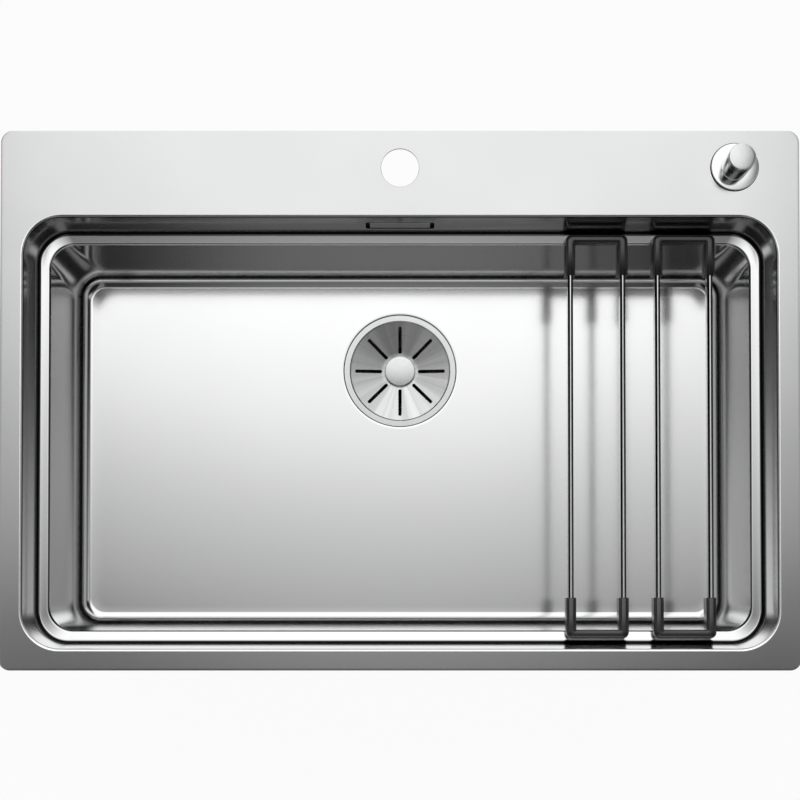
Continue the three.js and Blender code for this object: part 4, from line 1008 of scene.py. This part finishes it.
# The sky, by direction: x to the right, y to the back, z up. Pairs are where a change starts and ends.
sky = {
    "panel": ((-1.0, 0.1), (-0.3, 0.15), (-0.16, 0.16), (-0.11, 0.09), (-0.085, 0.03), (-0.06, 0.06),
              (-0.035, 0.2), (-0.012, 0.36), (0.05, 0.53), (0.1, 0.84), (0.15, 1.0), (0.4, 1.02)),  # y and level
    "peak": 1.4, "curve": 1.2,  # the panel's brightness, and how far its bands bend back at the sides
    "flag": 0.97, "flagSide": (0.18, 0.33), "flagBack": (0.02, 0.13),  # dark at the back, far out
    "corner": 0.95, "cornerSide": (0.06, 0.15), "cornerFront": (-0.14, -0.04),  # dark at the front corners
    "glowLeft": 0.7, "glowRight": 0.36, "glowSide": (0.2, 0.32), "glowEnd": (0.45, 0.6), "glowTurn": 0.4,
    "glowFront": (-0.13, -0.04), "glowBack": (0.0, 0.15),  # soft light at both sides
    "ringFront": 0.2, "ringSide": 0.4, "ringBack": 0.9, "ringTurn": (0.2, 0.6),  # the band below the panel
    "horizon": 0.42, "horizonBack": 0.2, "horizonRight": -0.1,  # low down, for matt surfaces
    "pale": 0.97,  # low down, for the camera and reflections
    "height": (0.1, 0.22), "high": (0.6, 0.74),  # z where the ring and the panel begin
}


def seenDirectly(tree):  # 1 for rays from the camera, off a mirror or through glass
    path = addNode(tree, "LightPath")
    seen = maths(tree, "MAXIMUM", path["Is Camera Ray"], path["Is Glossy Ray"])
    return maths(tree, "MAXIMUM", seen, path["Is Transmission Ray"])


def makeFloor():
    material, tree, shader = newMaterial("paleFloor")
    wire(tree, shader, [("Base Color", (*studio["floorColor"], 1)), ("Roughness", studio["floorRough"])])
    share = maths(tree, "MULTIPLY", seenDirectly(tree), studio["floorGlow"])
    glow = addNode(tree, "Emission")[0]
    mix = addNode(tree, "MixShader", [(0, share), (1, shader.outputs[0]), (2, glow)])[0]
    wire(tree, tree.nodes["Material Output"], [("Surface", mix)])
    size = studio["floorSize"] / 2 / mm
    corners = [(-size, -size, 0), (size, -size, 0), (size, size, 0), (-size, size, 0)]
    floor = newPiece("paleFloor", corners, [(0, 1, 2, 3)], material)
    floor.location.z = studio["floorZ"]


def makeWorld():
    w = sky
    world = bpy.data.worlds.new("studioWorld")
    world.use_nodes = True
    scene.world = world
    tree = world.node_tree

    def times(first, second):
        return maths(tree, "MULTIPLY", first, second)

    def plus(first, second):
        return maths(tree, "ADD", first, second)

    def less(value):  # what is left of 1
        return maths(tree, "SUBTRACT", 1.0, value)

    def scaled(value, factor, offset):
        return maths(tree, "MULTIPLY_ADD", value, factor, offset)

    def ease(value, low, high, toLow=0.0, toHigh=1.0):
        return mapped(tree, value, low, high, toLow, toHigh, "SMOOTHSTEP")

    x, y, z = addNode(tree, "SeparateXYZ", [(0, addNode(tree, "TexCoord")["Generated"])])
    aside = maths(tree, "ABSOLUTE", x)
    along = scaled(times(x, x), -w["curve"], y)
    ramp = tree.nodes.new("ShaderNodeValToRGB")
    wire(tree, ramp, [(0, scaled(along, 0.5, 0.5))])
    stops = ramp.color_ramp.elements
    while len(stops) > 1:
        stops.remove(stops[-1])
    for k, (at, level) in enumerate(w["panel"]):
        stop = stops.new((at + 1) / 2) if k else stops[0]
        stop.position = (at + 1) / 2
        stop.color = (level, level, level, 1)
    panel = times(ramp.outputs["Color"], w["peak"])

    flag = times(times(ease(aside, *w["flagSide"]), ease(y, *w["flagBack"])), w["flag"])
    corner = times(ease(aside, *w["cornerSide"]), ease(y, *w["cornerFront"], 1.0, 0.0))
    shaded = times(times(panel, less(flag)), scaled(corner, -w["corner"], 1.0))
    glow = times(ease(aside, *w["glowSide"]), less(ease(y, *w["glowBack"])))
    glow = times(glow, ease(x, -w["glowTurn"], w["glowTurn"], w["glowLeft"], w["glowRight"]))
    glow = times(times(glow, ease(y, *w["glowFront"])), ease(aside, *w["glowEnd"], 1.0, 0.0))
    near, far = w["ringTurn"]
    ring = maths(tree, "MAXIMUM", ease(y, -far, -near, w["ringFront"], w["ringSide"]),
                 ease(y, near, far, 0.0, w["ringBack"]))
    above = ease(z, *w["high"])
    overhead = plus(times(plus(shaded, glow), above), times(ring, less(above)))

    horizon = plus(scaled(y, w["horizonBack"], w["horizon"]), times(x, w["horizonRight"]))
    seen = seenDirectly(tree)
    horizon = plus(times(seen, w["pale"]), times(horizon, less(seen)))
    upper = ease(z, *w["height"])
    level = plus(times(overhead, upper), times(horizon, less(upper)))
    wire(tree, tree.nodes["Background"], [("Color", level), ("Strength", 1.0)])


def makeCamera():
    lens = bpy.data.cameras.new("camera")
    lens.sensor_width = cameraView["sensor"]
    lens.lens = cameraView["lens"]
    lens.shift_y = cameraView["shift"]
    camera = bpy.data.objects.new("camera", lens)
    camera.location = cameraView["place"]
    camera.rotation_euler = (math.radians(cameraView["tilt"]), 0, 0)
    scene.collection.objects.link(camera)
    scene.camera = camera


makeFloor()
makeWorld()
makeCamera()
scene.view_settings.view_transform = "Standard"
print("studio made")
